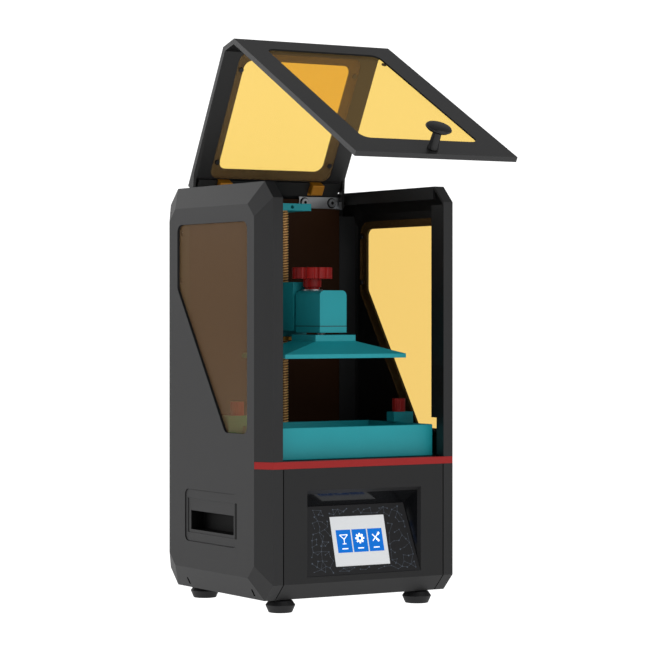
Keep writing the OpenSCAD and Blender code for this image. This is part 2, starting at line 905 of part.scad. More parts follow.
// A finger cup on the +X side, behind a sunken face with a slot
module side_handle() {
    cup_x = inner_x - grip_depth;
    lip = 0.9;
    face_t = 1.6;
    face_x = hw - lip - face_t;
    slot_z1 = grip_z + slot_h / 4;
    slot_z0 = slot_z1 - slot_h;
    color("#333333")
        difference() {
            union() {
                grip_prism(face_x, hw - lip, -fit);
                between([cup_x, -slot_l / 2 - wall, slot_z0 - wall],
                    [face_x, slot_l / 2 + wall, slot_z1 + wall]);
            }
            between([cup_x + wall, -slot_l / 2, slot_z0], [hw + 1, slot_l / 2, slot_z1]);
            between([face_x + face_t / 2, -grip_l / 2 + grip_rim / 2, grip_z - grip_h / 2 + grip_rim],
                [hw, grip_l / 2 - grip_rim / 2, grip_z + grip_h / 2 - grip_rim]);
        }
}

module left_handle() {
    mirror([1, 0, 0])
        side_handle();
}

module right_handle() {
    side_handle();
}

module feet() {
    bore = foot_screw_d / 2 + run;
    color("#161616")
        for (x = side, y = side)
            translate([x * foot_mid_x, y * foot_mid_y, 0])
                rotate_extrude()
                    polygon([
                        [bore, 0], [foot_sole_d / 2, 0], [foot_d / 2, foot_h * 0.55],
                        [foot_sole_d / 2, foot_h * 0.9], [foot_d / 4, foot_h], [bore, foot_h]
                    ]);
}

module foot_screws() {
    sunk = 2;
    head_h = 4;
    color("#777777")
        for (x = side, y = side)
            translate([x * foot_mid_x, y * foot_mid_y, 0]) {
                bar([0, 0, sunk], foot_screw_d, base_top - sunk);
                bar([0, 0, base_top], foot_screw_d * 1.8, head_h);
            }
}

module mask_screen() {
    color("#101418")
        between([-mask_half, -work_y - mask_len / 2, deck_under],
            [mask_half, -work_y + mask_len / 2, deck_under + mask_t]);
}

// Half sizes of the clear light path
light_x = mask_half - mask_lip;
light_y = mask_len / 2 - mask_lip;

module mask_frame() {
    color("#202020")
        translate([0, -work_y, 0])
            difference() {
                between([-mask_half - mask_rim, -mask_len / 2 - mask_rim, frame_under],
                    [mask_half + mask_rim, mask_len / 2 + mask_rim, deck_under]);
                between([-light_x, -light_y, frame_under - 1], [light_x, light_y, deck_under + 1]);
            }
}

// Tapered light box, larger at the top
module light_taper(m, z0, z1) {
    translate([0, -work_y, 0])
        hull() {
            between([-light_x - m, -light_y - m, z1 - 1], [light_x + m, light_y + m, z1]);
            between([-box_low - m, -box_low - m, z0], [box_low + m, box_low + m, z0 + 1]);
        }
}

module lamp_housing() {
    color("#b8bcc0")
        difference() {
            light_taper(box_t, lamp_z, frame_under);
            light_taper(0, lamp_z - skin, frame_under + skin);
        }
}

module lamp_board() {
    led_h = 2;
    color("#e8e8e0")
        translate([0, -work_y, 0])
            union() {
                between([-lamp_w / 2, -lamp_w / 2, sink_top], [lamp_w / 2, lamp_w / 2, lamp_z]);
                for (x = [-2:2], y = [-2:2])
                    bar([x * led_step, y * led_step, lamp_z], led_d, led_h);
            }
}

module heat_sink() {
    fins = 8;
    step = (lamp_w - fin_t) / (fins - 1);
    color("#a9adb1")
        translate([-lamp_w / 2, -work_y - lamp_w / 2, sink_top - sink_h])
            union() {
                translate([0, 0, sink_h - sink_base])
                    cube([lamp_w, lamp_w, sink_base]);
                for (i = [0:fins - 1])
                    translate([i * step, 0, 0])
                        cube([fin_t, lamp_w, sink_h - sink_base]);
            }
}

// The lamp fan's spider thickness and the rotor's height
spider_t = 2;
rotor_h = fan_t - 2 * spider_t;
fan_bore = lamp_w - 4;

module lamp_fan_frame() {
    color("#1a1a1a")
        translate([0, -work_y, fan_z])
            union() {
                difference() {
                    between([-lamp_w / 2, -lamp_w / 2, 0], [lamp_w / 2, lamp_w / 2, fan_t]);
                    bar([0, 0, -1], fan_bore, fan_t + 2);
                }
                for (a = [45:90:315])
                    rotate([0, 0, a])
                        between([0, -spider_t, 0], [fan_bore / 2 + 1, spider_t, spider_t]);
                bar([0, 0, 0], fan_hub_d - spider_t, spider_t);
                bar([0, 0, spider_t], fan_pin_d, rotor_h - 1);
            }
}

module lamp_fan_rotor() {
    blade_t = 2;
    blade_l = fan_bore / 2 - fan_hub_d / 2 - 1;
    color("#2b2b2b")
        translate([0, -work_y, fan_z + spider_t + pass])
            difference() {
                union() {
                    bar([0, 0, 0], fan_hub_d, rotor_h);
                    for (a = [0:45:315])
                        rotate([0, 0, a])
                            translate([fan_hub_d / 2 - 1, -blade_t, blade_t])
                                rotate([35, 0, 0])
                                    cube([blade_l, blade_t, rotor_h - 2 * blade_t]);
                }
                bar([0, 0, -1], fan_pin_d + 2 * run, rotor_h + 2);
            }
}

// Corner of the main board, clear of the feet and the lamp fan, and its underside
board_x = -foot_mid_x + foot_screw_d;
board_y = lamp_w / 2 - work_y + foot_h;
board_z = base_top + post_h;

module main_board() {
    top = board_z + board_t;
    chip_w = board_w * 0.3;
    chip_x = board_w / 4;
    plug_w = board_l / 12;
    color("#1d4f8a")
        translate([board_x, board_y, 0])
            union() {
                between([0, 0, board_z], [board_l, board_w, top]);
                between([chip_x, chip_x, top], [chip_x + chip_w, chip_x + chip_w, top + board_t]);
                between([board_l / 2, chip_x, top], [board_l / 2 + plug_w, chip_x + plug_w, top + plug_w]);
                for (i = [0:3])
                    translate([board_l / 12 + i * (plug_w + board_t), board_w - 2 * plug_w, top])
                        cube([plug_w, plug_w, plug_w]);
            }
}

module board_posts() {
    color("#c9a24a")
        for (x = [post_d, board_l - post_d], y = [post_d, board_w - post_d])
            bar([board_x + x, board_y + y, base_top], post_d, post_h);
}

module power_inlet() {
    flange = 3;
    color("#151515")
        difference() {
            union() {
                bar_y([inlet_mid, rear - wall - socket_deep, socket_z], inlet_d, socket_deep + wall);
                bar_y([inlet_mid, rear - wall - flange, socket_z], inlet_d + flange, flange);
            }
            bar_y([inlet_mid, rear - inlet_deep, socket_z], inlet_bore, inlet_deep + 1);
        }
}

// Wall of the switch housing around its rocker, and the play between them
switch_rim = 2.5;
rocker_play = 0.5;

module switch_housing() {
    flange = 2;
    well = 6;
    color("#141414")
        difference() {
            union() {
                switch_block(0, rear - wall - socket_deep, rear);
                switch_block(flange, rear - wall - flange, rear - wall);
            }
            switch_block(-switch_rim, rear - wall - well, rear + 1);
        }
}

module switch_rocker() {
    tilt = 8;
    deep = 5;
    sunk = 0.2;
    color("#0d0d0d")
        difference() {
            switch_block(-switch_rim - rocker_play, rear - deep, rear - sunk);
            for (s = side)
                translate([switch_mid + s * switch_w * 0.36, rear + 1, socket_z])
                    rotate([0, 0, s * tilt])
                        cube([switch_w * 0.75, 4, switch_h], center = true);
        }
}

module usb_port() {
    sheet = 1.5;
    color("#b5b5b5")
        difference() {
            usb_block(0, rear - wall - socket_deep, rear - fit);
            usb_block(-sheet, rear - socket_deep, rear + 1);
        }
}

module z_column() {
    color("#3c3f42")
        between([-column_half, wall_y - column_t, deck_z], [column_half, wall_y, bracket_z]);
}

module z_rail() {
    foot = 22;
    color("#c3c6c8")
        between([-rail_w / 2, rail_y, deck_z + foot], [rail_w / 2, wall_y - column_t, bracket_z - foot / 4]);
}

module z_top_bracket() {
    color("#2e878e")
        difference() {
            between([-bracket_half, screw_mid - bracket_nose, bracket_z],
                [bracket_half, wall_y, bracket_z + bracket_t]);
            bar([0, screw_mid, bracket_z - 1], bearing_d, bracket_t + 2);
            bar_y([0, screw_mid - bracket_nose - 1, bracket_z + bracket_t / 2],
                bracket_hole_d, bracket_nose / 2);
        }
}

module z_bearing() {
    color("#d0d0d0")
        difference() {
            bar([0, screw_mid, bracket_z + 0.5], bearing_d, bracket_t - 1);
            bar([0, screw_mid, bracket_z - 1], screw_d + 2 * run, bracket_t + 2);
        }
}

module z_motor() {
    pilot_d = 22;
    pilot_h = 2;
    h = motor_w / 2;
    c = motor_cut;
    color("#2a2a2c")
        translate([0, screw_mid, deck_under - motor_l])
            union() {
                linear_extrude(motor_l)
                    polygon([
                        [-h + c, -h], [h - c, -h], [h, -h + c], [h, h - c],
                        [h - c, h], [-h + c, h], [-h, h - c], [-h, -h + c]
                    ]);
                bar([0, 0, motor_l], pilot_d, pilot_h);
            }
}

module screw_coupler() {
    color("#b9bcc0")
        bar([0, screw_mid, shaft_z], coupler_d, coupler_l);
}

module lead_screw() {
    z0 = shaft_z + coupler_l;
    color("#c9974a")
        bar([0, screw_mid, z0], screw_d, bracket_z + bracket_t - z0);
}

module z_carriage() {
    mid = (arm_z + arm_top) / 2;
    z0 = mid - runner_l / 2;
    color("#9a9da0")
        difference() {
            between([-runner_w / 2, arm_y1, z0], [runner_w / 2, wall_y - column_t - 1, z0 + runner_l]);
            between([-rail_w / 2 - run, rail_y - run, z0 - 1], [rail_w / 2 + run, wall_y, z0 + runner_l + 1]);
        }
}

module z_arm() {
    color("#1f6f76")
        difference() {
            union() {
                between([-arm_half, arm_y0, arm_z], [arm_half, arm_y1, arm_top]);
                between([-tongue_w / 2, tongue_y0, tongue_z], [tongue_w / 2, arm_y0, tongue_top]);
            }
            bar([0, screw_mid, arm_z - 1], nut_body_d + 2 * run, arm_top - arm_z + 2);
            between([-arm_half - 1, arm_y0 - 1, arm_z - 1],
                [arm_half + 1, vat_y1 + pass, vat_top + travel_down + pass]);
        }
}

module screw_nut() {
    color("#b5852f")
        difference() {
            union() {
                bar([0, screw_mid, arm_z - nut_h], nut_d, nut_h);
                bar([0, screw_mid, arm_z - nut_h], nut_body_d, nut_h + nut_body_l);
            }
            bar([0, screw_mid, arm_z - nut_h - 1], screw_d + 2 * run, nut_h + nut_body_l + 2);
        }
}

module clamp_block() {
    r = 5;
    half = block_w / 2;
    color("#2e878e")
        difference() {
            union() {
                between([-half, block_y0, block_z], [half, block_y1, block_top - r]);
                between([-half + r, block_y0, block_top - r], [half - r, block_y1, block_top]);
                for (x = side)
                    bar_y([x * (half - r), block_y0, block_top - r], 2 * r, block_d);
            }
            between([-tongue_w / 2 - pass, tongue_y0 - pass, tongue_z - pass],
                [tongue_w / 2 + pass, block_y1 + 1, tongue_top + pass]);
            bar([0, clamp_axis_y, tongue_top], shank_d + 2 * run, tongue_down + 1);
            translate([0, block_mid, ball_z])
                sphere(ball_r + pass);
        }
}

module clamp_knob() {
    color("#aa2828")
        translate([0, clamp_axis_y, 0])
            difference() {
                union() {
                    bar([0, 0, hub_z + hub_h], knob_d, knob_t);
                    bar([0, 0, hub_z], hub_d, hub_h);
                    bar([0, 0, block_top + fit], hub_d - washer_h, washer_h);
                    bar([0, 0, tongue_top + pass], shank_d, tongue_down + washer_h);
                }
                for (i = [0:scallops - 1])
                    rotate([0, 0, i * 360 / scallops])
                        bar([knob_d / 2 + scallop_d / 4, 0, hub_z + hub_h - 1], scallop_d, knob_t + 2);
            }
}

module levelling_ball() {
    color("#9fa3a6")
        translate([0, block_mid, 0])
            union() {
                translate([0, 0, ball_z])
                    sphere(ball_r);
                bar([0, 0, boss_top - stem_in], stem_d, ball_z - boss_top + stem_in);
            }
}

module build_plate() {
    y0 = -work_y - build_len / 2;
    y1 = -work_y + build_len / 2;
    boss_y0 = -work_y + boss_back - boss_w / 2;
    color("#2e878e")
        difference() {
            union() {
                between([-build_half, y0, plate_z], [build_half, y1, build_z]);
                hull() {
                    between([-build_half, y0, build_z - skin], [build_half, y1, build_z]);
                    between([-boss_w / 2, boss_y0, boss_z - skin], [boss_w / 2, boss_y0 + boss_w, boss_z]);
                }
                between([-boss_w / 2, boss_y0, boss_z - skin], [boss_w / 2, boss_y0 + boss_w, boss_top]);
            }
            bar([0, block_mid, boss_top - stem_in - pass], stem_d + 2 * stem_play, stem_in + 1);
        }
}

// The vat's floor opening, let out by a margin, between two heights
module vat_window(m, z0, z1) {
    between([-open_half - m, vat_mid - open_len / 2 - m, z0], [open_half + m, vat_mid + open_len / 2 + m, z1]);
}

module vat_frame() {
    color("#2e878e")
        difference() {
            between([-vat_half, vat_y0, vat_z], [vat_half, vat_y1, vat_top]);
            between([-vat_half + vat_wall, vat_y0 + vat_wall, film_z + floor_t],
                [vat_half - vat_wall, vat_y1 - vat_wall, vat_top + 1]);
            vat_window(0, vat_z - 1, vat_top);
            vat_window(ring_w + fit, vat_z - 1, film_z + film_t);
        }
}

module vat_film() {
    color("#d8e2e6", 0.4)
        vat_window(ring_w, film_z, film_z + film_t);
}

module film_ring() {
    color("#b8bcc0")
        difference() {
            vat_window(ring_w, vat_z + film_t, film_z);
            vat_window(0, vat_z - 1, film_z + 1);
        }
}

module vat_clamps() {
    y0 = clamp_mid - lug_d / 2;
    y1 = clamp_mid + lug_d / 2;
    color("#1f6f76")
        for (s = side)
            difference() {
                union() {
                    beside(s, [post_x, y0, deck_z], [lug_x, y1, lug_top]);
                    beside(s, [vat_half - lug_lap, y0, lug_z], [lug_x, y1, lug_top]);
                }
                bar([s * thumb_x, clamp_mid, lug_z - thumb_pin_l - 1],
                    thumb_pin_d + 2 * run, lug_h + thumb_pin_l + 2);
            }
}

module thumbscrew(x) {
    ribs = 12;
    rib_d = 1.6;
    rib_out = 0.3;
    z = lug_top + fit;
    color("#aa2828")
        translate([x, clamp_mid, 0])
            difference() {
                union() {
                    bar([0, 0, z], thumb_d, thumb_h);
                    bar([0, 0, lug_z - thumb_pin_l], thumb_pin_d, lug_h + thumb_pin_l + 1);
                }
                for (i = [0:ribs - 1])
                    rotate([0, 0, i * 360 / ribs])
                        bar([thumb_d / 2 + rib_out, 0, z + rib_d], rib_d, thumb_h);
            }
}

module left_thumbscrew() {
    thumbscrew(-thumb_x);
}

module right_thumbscrew() {
    thumbscrew(thumb_x);
}

// Swings the lid's pieces from closed, as they are drawn, to open
module on_lid() {
    translate([0, axis_y, axis_z])
        rotate([-lid_open, 0, 0])
            translate([0, -axis_y, -axis_z])
                children();
}

// Bends of the lid's plate at a depth below its outer face
function lid_bends(t) =
    let (b = lid_bevel - t * (2 - sqrt(2)))
    [[lid_front + t + b, body_h - t], [lid_front + t, body_h - t - b]];

// Flanges under the lid's rear edge, beside and between the stop blocks
module rear_flanges() {
    in_x = stop_x - stop_w / 2 - fit;
    out_x = stop_x + stop_w / 2 + fit;
    between([-in_x, stop_start, lid_under - stop_tab], [in_x, stop_end, lid_under + skin]);
    for (s = side)
        beside(s, [out_x, stop_start, lid_under - stop_tab], [ear_x - wall - pass, stop_end, lid_under + skin]);
}

// The lid's bent plate
module lid_plate() {
    outer = lid_bends(0);
    inner = lid_bends(lid_t);
    along_x(-lid_half, lid_half, [
        [lid_end, body_h], outer[0], outer[1], [lid_front, lid_low],
        [lid_front + lid_t, lid_low], inner[1], inner[0], [lid_end, lid_under]
    ]);
}

// The lid's top window, let out by a margin, between two depths below the outer face
module top_prism(t0, t1, m) {
    translate([0, 0, body_h - t1])
        linear_extrude(t1 - t0)
            round_rect([-top_win_half - m, top_y0 - m], [top_win_half + m, top_y1 + m], lid_win_r);
}

// The lid's front window, let out by a margin, between two depths behind the outer face
module front_prism(t0, t1, m) {
    translate([0, lid_front + t1, 0])
        rotate([90, 0, 0])
            linear_extrude(t1 - t0)
                round_rect([-front_win_half - m, win_z0 - m], [front_win_half + m, win_z1 + m], lid_win_r);
}

// Diameter of the lid knob's fixing screw
knob_screw_d = 4;

module lid_frame() {
    color("#3a3a3a")
        on_lid()
            difference() {
                union() {
                    lid_plate();
                    rear_flanges();
                    for (s = side)
                        hull() {
                            bar_x([s > 0 ? lid_half - wall : -lid_half, axis_y, axis_z], arm_eye_d, wall);
                            beside(s, [lid_half - wall, lid_end - 2 * arm_eye_d, lid_under],
                                [lid_half, lid_end - 1, lid_under + 1]);
                        }
                }
                for (s = side)
                    bar_x([s * lid_half - 2 * wall, axis_y, axis_z], hinge_pin_d + 2 * run, 4 * wall);
                top_prism(-1, lid_t + 1, 0);
                front_prism(-1, lid_t + 1, 0);
                top_prism(lid_t - lid_pocket, lid_t + 1, lid_seat);
                front_prism(lid_t - lid_pocket, lid_t + 1, lid_seat);
                bar_y([0, lid_front - 1, knob_z], knob_screw_d + 2 * run, lid_t + 2);
            }
}

// Depths of a lid pane's outer and inner faces
pane_t0 = lid_t - lid_pocket + fit;
pane_t1 = pane_t0 + pane_t;

module lid_top_pane() {
    color("#e0a63a", 0.6)
        on_lid()
            top_prism(pane_t0, pane_t1, lid_seat - pass);
}

module lid_front_pane() {
    color("#e0a63a", 0.6)
        on_lid()
            front_prism(pane_t0, pane_t1, lid_seat - pass);
}

module lid_screws() {
    head_d = 5;
    head_h = 1.6;
    lap = lid_seat / 2;
    color("#8a8a8a")
        on_lid() {
            for (s = side, y = [top_y0 + lid_win_r, top_y1 - lid_win_r])
                bar([s * (top_win_half + lap), y, body_h - pane_t1 - head_h], head_d, head_h);
            for (s = side, z = [win_z0 + lid_win_r, win_z1 - lid_win_r])
                bar_y([s * (front_win_half + lap), lid_front + pane_t1, z], head_d, head_h);
        }
}

module lid_knob() {
    r = lid_knob_d / 2;
    l = lid_knob_l;
    nut_t = 2;
    color("#2b2b2b")
        on_lid()
            translate([0, lid_front, knob_z])
                rotate([90, 0, 0])
                    union() {
                        rotate_extrude()
                            polygon([
                                [0, 0], [r * 0.43, 0], [r * 0.36, l * 0.25],
                                [r * 0.32, l * 0.71], [r * 0.76, l * 0.75],
                                [r, l * 0.85], [r * 0.92, l * 0.94], [r * 0.6, l], [0, l]
                            ]);
                        bar([0, 0, -lid_t - nut_t], knob_screw_d, lid_t + nut_t + 1);
                        bar([0, 0, -lid_t - nut_t], 2 * knob_screw_d, nut_t);
                    }
}

module lid_stops() {
    x0 = stop_x - stop_w / 2;
    x1 = stop_x + stop_w / 2;
    color("#d0912c")
        on_lid()
            for (s = side)
                union() {
                    beside(s, [x0, stop_start, lid_under - stop_h], [x1, lid_end, lid_under]);
                    beside(s, [x0, stop_start, lid_under - stop_tab], [x1, stop_end, lid_under]);
                }
}

module hinge_plates() {
    plate_t = 2;
    z0 = axis_z - plate_h / 4;
    color("#9a9a9a")
        for (s = side)
            difference() {
                union() {
                    beside(s, [plate_x, wall_y - plate_t, z0], [ear_x, wall_y, z0 + plate_h]);
                    beside(s, [ear_x - wall, axis_y - arm_eye_d / 2, axis_z - arm_eye_d / 2],
                        [ear_x, wall_y, axis_z + arm_eye_d / 2]);
                    for (x = [plate_x + plate_screw_d * 0.75, ear_x - wall - plate_screw_d * 0.75])
                        bar_y([s * x, wall_y - 2 * plate_t, z0 + plate_h / 2], plate_screw_d, plate_t);
                }
                bar_x([s * ear_x - 2 * wall, axis_y, axis_z], hinge_pin_d, 4 * wall);
            }
}

module hinge_pins() {
    color("#c0c0c0")
        for (s = side)
            bar_x([s > 0 ? ear_x - wall : -lid_half, axis_y, axis_z], hinge_pin_d, lid_half - ear_x + wall);
}

// Moves the body-centred drawing so that the origin is under the middle of its full depth
module placed() {
    translate([0, origin_y, 0])
        children();
}

placed() left_shell();
placed() right_shell();
placed() front_panel();
placed() rear_cover();
placed() back_wall();
placed() base_plate();
placed() deck_plate();
placed() trim_strip();
placed() left_window();
placed() right_window();
placed() window_screws();
placed() left_handle();
placed() right_handle();
placed() feet();
placed() foot_screws();
placed() screen_bezel();
placed() overlay_panel();
placed() touch_screen();
placed() screen_board();
placed() mask_screen();
placed() mask_frame();
placed() lamp_housing();
placed() lamp_board();
placed() heat_sink();
placed() lamp_fan_frame();
placed() lamp_fan_rotor();
placed() main_board();
placed() board_posts();
placed() power_inlet();
placed() switch_housing();
placed() switch_rocker();
placed() usb_port();
placed() z_column();
placed() z_rail();
placed() z_top_bracket();
placed() z_bearing();
placed() z_motor();
placed() screw_coupler();
placed() lead_screw();
placed() z_carriage();
placed() z_arm();
placed() screw_nut();
placed() clamp_block();
placed() clamp_knob();
placed() levelling_ball();
placed() build_plate();
placed() vat_frame();
placed() vat_film();
placed() film_ring();
placed() vat_clamps();
placed() left_thumbscrew();
placed() right_thumbscrew();
placed() lid_frame();
placed() lid_top_pane();
placed() lid_front_pane();
placed() lid_screws();
placed() lid_knob();
placed() lid_stops();
placed() hinge_plates();
placed() hinge_pins();
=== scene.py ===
"""Looks of a desktop resin printer with a hinged tinted lid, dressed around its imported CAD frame."""

import json
import math
import random

import bmesh
import bpy
from bpy.props import FloatProperty, FloatVectorProperty, IntProperty, PointerProperty
from mathutils import Matrix, Vector


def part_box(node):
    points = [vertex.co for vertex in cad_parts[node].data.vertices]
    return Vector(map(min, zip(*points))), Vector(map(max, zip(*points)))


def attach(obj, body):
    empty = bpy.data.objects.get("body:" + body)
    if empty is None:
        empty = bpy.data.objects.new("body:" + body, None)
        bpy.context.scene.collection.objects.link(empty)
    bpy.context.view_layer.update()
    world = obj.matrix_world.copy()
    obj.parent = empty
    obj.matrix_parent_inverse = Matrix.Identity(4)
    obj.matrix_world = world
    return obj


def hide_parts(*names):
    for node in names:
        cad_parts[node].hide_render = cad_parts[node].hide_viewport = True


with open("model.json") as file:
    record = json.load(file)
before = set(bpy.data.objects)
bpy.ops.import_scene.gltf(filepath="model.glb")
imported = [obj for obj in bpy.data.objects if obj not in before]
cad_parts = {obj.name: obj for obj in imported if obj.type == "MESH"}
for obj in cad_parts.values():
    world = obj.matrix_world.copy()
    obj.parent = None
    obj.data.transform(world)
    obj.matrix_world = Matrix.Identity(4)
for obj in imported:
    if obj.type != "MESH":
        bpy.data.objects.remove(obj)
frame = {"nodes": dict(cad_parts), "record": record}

bl_info = {
    "name": "Resin printer looks",
    "version": (1, 0, 0),
    "blender": (4, 5, 0),
    "location": "View3D > Sidebar > Printer",
    "description": "Dresses the packed resin printer and sets its studio",
    "category": "Object",
}

MM = 0.001
BODIES = {node: body for body, nodes in frame["record"]["behaviour"]["bodies"].items() for node in nodes}

# Share of the studio's light that each face of a pane lets into the chamber
LAMP_PASS = 0.5
# Share by which a coat's shade varies over its patches, and its gloss over its grain
UNEVEN = 0.06
# Octaves of noise in a coat's grain and in its patches
GRAIN_DETAIL = 2.0
PATCH_DETAIL = 3.0
# Stretch of brushed lines along Z, and the least and greatest roughness on them as shares of the metal's
BRUSH_STRETCH = (1, 1, 0.02)
BRUSH_LOW = 0.8
BRUSH_HIGH = 1.25
# Roughness of a pane's haze, and the screen's roughness and shine
PANE_ROUGHNESS = 0.25
SCREEN_ROUGHNESS = 0.5
SCREEN_SHINE = 0.1

# Angles in degrees above which an edge is sharp, and below which two faces are one
SHARP = 30
SHELL_SHARP = 14
THREAD_SHARP = 25
FLAT = 0.5
# Strips across a rounded edge
EDGE_STEPS = 3
# Distances within which points are one, or level with each other
MERGE = 0.002 * MM
THREAD_MERGE = 0.01 * MM
LEVEL = 0.02 * MM
# How far a side piece's face has to look inwards to be one of its inner faces
INWARD = 0.3
# Sides of a round piece, of a small dot, of the washer and of a screw's socket
ROUND_SIDES = 24
DOT_SIDES = 12
WASHER_SIDES = 48
SOCKET_SIDES = 6

# Shares of the screen's width: the buttons' spacing, width and height, and the half height kept free of print
BUTTON_STEP = 0.29
BUTTON_W = 0.268
BUTTON_H = 0.36
FREE_HALF = 0.42
# Shares of a button's height: the symbol's rise, and the drop and height of the bar below it
SYMBOL_UP = 0.1
BAR_DOWN = 0.33
BAR_H = 0.045
# Shares of a button's width: the unit of its symbol, and the bar's width
SYMBOL_UNIT = 0.1
BAR_W = 0.4

# Strokes of the symbols: middle, width and height in the symbol's units, and turn in radians
FUNNEL = (
    (0, 2.4, 5.4, 0.45, 0),
    (-1.35, 1.05, 0.45, 3.5, 0.82),
    (1.35, 1.05, 0.45, 3.5, -0.82),
    (0, -1.4, 0.5, 3.0, 0),
    (0, -2.9, 2.6, 0.4, 0),
)
TOOLS = (
    (0, 0, 0.6, 5.6, -math.pi / 4),
    (0, 0, 0.6, 5.6, math.pi / 4),
    (1.5, -1.5, 1.2, 2.2, math.pi / 4),
    (2.3, 2.3, 0.55, 1.9, -0.1),
    (2.3, 2.3, 0.55, 1.9, -1.47),
)
# The gear's number of teeth, their size and radius, and its ring's, in the symbol's units
TEETH = 8
TOOTH = 1.1
TOOTH_RADIUS = 2.5
RING_BLOCK = 1.0
RING_RADIUS = 1.6

# Print on the overlay: its distance from the overlay's ends, sides and the screen, and its narrowing upwards
PRINT_END = 3 * MM
PRINT_SIDE = 4 * MM
PRINT_FREE = 2 * MM
PRINT_TAPER = 9 * MM
# Height of the overlay's face above the screen's
PRINT_LIFT = 0.4 * MM
# Seed of the dots, tries per dot and least share of a dot's size
PRINT_SEED = 11
PRINT_TRIES = 12
PRINT_LEAST = 0.5
# Counts of lines that a dot draws from, and the longest line in least distances between dots
PRINT_LINES = (1, 1, 2)
PRINT_REACH = 3

# Places of a ridge's foot, crest, crest and foot along the lead screw, as shares of its pitch
RIDGE = (0.2, 0.36, 0.64, 0.8)
# Steps of the ridge in one turn
THREAD_STEPS = 16
# Height of the clamp block's seam, as a share of the block's
SEAM_UP = 0.155
# Radius of the dark ring and of the socket, both painted shade, as shares of a screw head's
HEAD_RING = 1.3
HEAD_SOCKET = 0.45

# Place, width and height of each light in metres
LIGHTS = {
    "key": ((-1.9, 1.0, 0.5), 1.6, 1.6),
    "rim": ((-0.6, 2.0, 1.1), 1.6, 1.4),
    "front": ((0.4, -2.4, 1.2), 2.2, 1.6),
}
# Width of the camera's sensor in millimetres
SENSOR = 36
# Radius of the floor in metres, and its sides
FLOOR_RADIUS = 6
FLOOR_SIDES = 96


def linear(hexa):
    """Linear RGB of an sRGB colour written as RRGGBB."""
    parts = [int(hexa[i : i + 2], 16) / 255 for i in (0, 2, 4)]
    return tuple(p / 12.92 if p <= 0.04045 else ((p + 0.055) / 1.055) ** 2.4 for p in parts)


def colour_prop(label, hexa):
    """A colour setting with its label and default."""
    return FloatVectorProperty(
        name=label,
        description=f"{label} as linear RGB",
        subtype="COLOR",
        min=0,
        max=1,
        default=linear(hexa),
    )


def size_prop(label, mm):
    """A length setting with its label and its default in millimetres."""
    return FloatProperty(
        name=label, description=f"{label} in metres", unit="LENGTH", default=mm * MM, precision=5
    )


def power_prop(label, text, watts):
    """A light's power setting with its label, its description and its default in watts."""
    return FloatProperty(name=label, description=text, unit="POWER", default=watts)


def strength_prop(label, text, strength):
    """A setting of brightness with its label, its description and its default."""
    return FloatProperty(name=label, description=text, min=0, default=strength)


class PrinterColours(bpy.types.PropertyGroup):
    """Colours of the printer's materials."""

    shell: colour_prop("Side shells", "212122")
    cover: colour_prop("Front and rear covers", "161617")
    lid: colour_prop("Lid frame", "232324")
    # also the inward faces of the shells and the lid: a darker copy of their coat, as painted shade
    inner: colour_prop("Chamber's inner faces", "0E0D0C")
    # brown that stands in for amber light through the side window: painted light on dark paint
    wall: colour_prop("Chamber's rear wall", "351D0B")
    # painted shade for the handle cups, their gaps and the hinge screws' recesses
    painted_shade: colour_prop("Linings and gaps", "060606")
    black: colour_prop("Black plastic pieces", "111112")
    bezel: colour_prop("Screen's recess", "0F1012")
    overlay: colour_prop("Screen's overlay", "131316")
    mark: colour_prop("Print on the overlay", "55606E")
    trim: colour_prop("Trim strip", "A81D1C")
    teal: colour_prop("Vat and platform", "1AA8B2")
    knob: colour_prop("Clamp knobs", "A61511")
    amber: colour_prop("Tint of the side windows", "FCD579")
    lid_amber: colour_prop("Tint of the lid's windows", "F9D674")
    # brighter than the side windows' haze: painted light from above on the lid
    lid_haze: colour_prop("Haze of the lid's windows", "FFD39A")
    haze: colour_prop("Haze of the windows' faces", "C09A75")
    film: colour_prop("Tint of the vat's film", "E9EEF0")
    film_haze: colour_prop("Haze of the vat's film", "303438")
    gold: colour_prop("Lid stops", "D08A22")
    steel: colour_prop("Steel", "B4B6B8")
    aluminium: colour_prop("Aluminium", "C2C4C6")
    brass: colour_prop("Brass", "C08A3C")
    # the ridges are painted brighter as highlight, and the core between them darker as painted shade
    thread: colour_prop("Lead screw's ridges", "FFCB80")
    root: colour_prop("Lead screw between its ridges", "8A5620")
    rubber: colour_prop("Feet", "121214")
    board: colour_prop("Circuit boards", "1F5A36")
    glass: colour_prop("Mask screen", "0C0F13")
    screen: colour_prop("Screen background", "D4D6D8")
    button: colour_prop("Screen buttons", "0A5FB4")
    symbol: colour_prop("Screen symbols", "F4F7FA")
    floor: colour_prop("Floor", "F4F4F4")


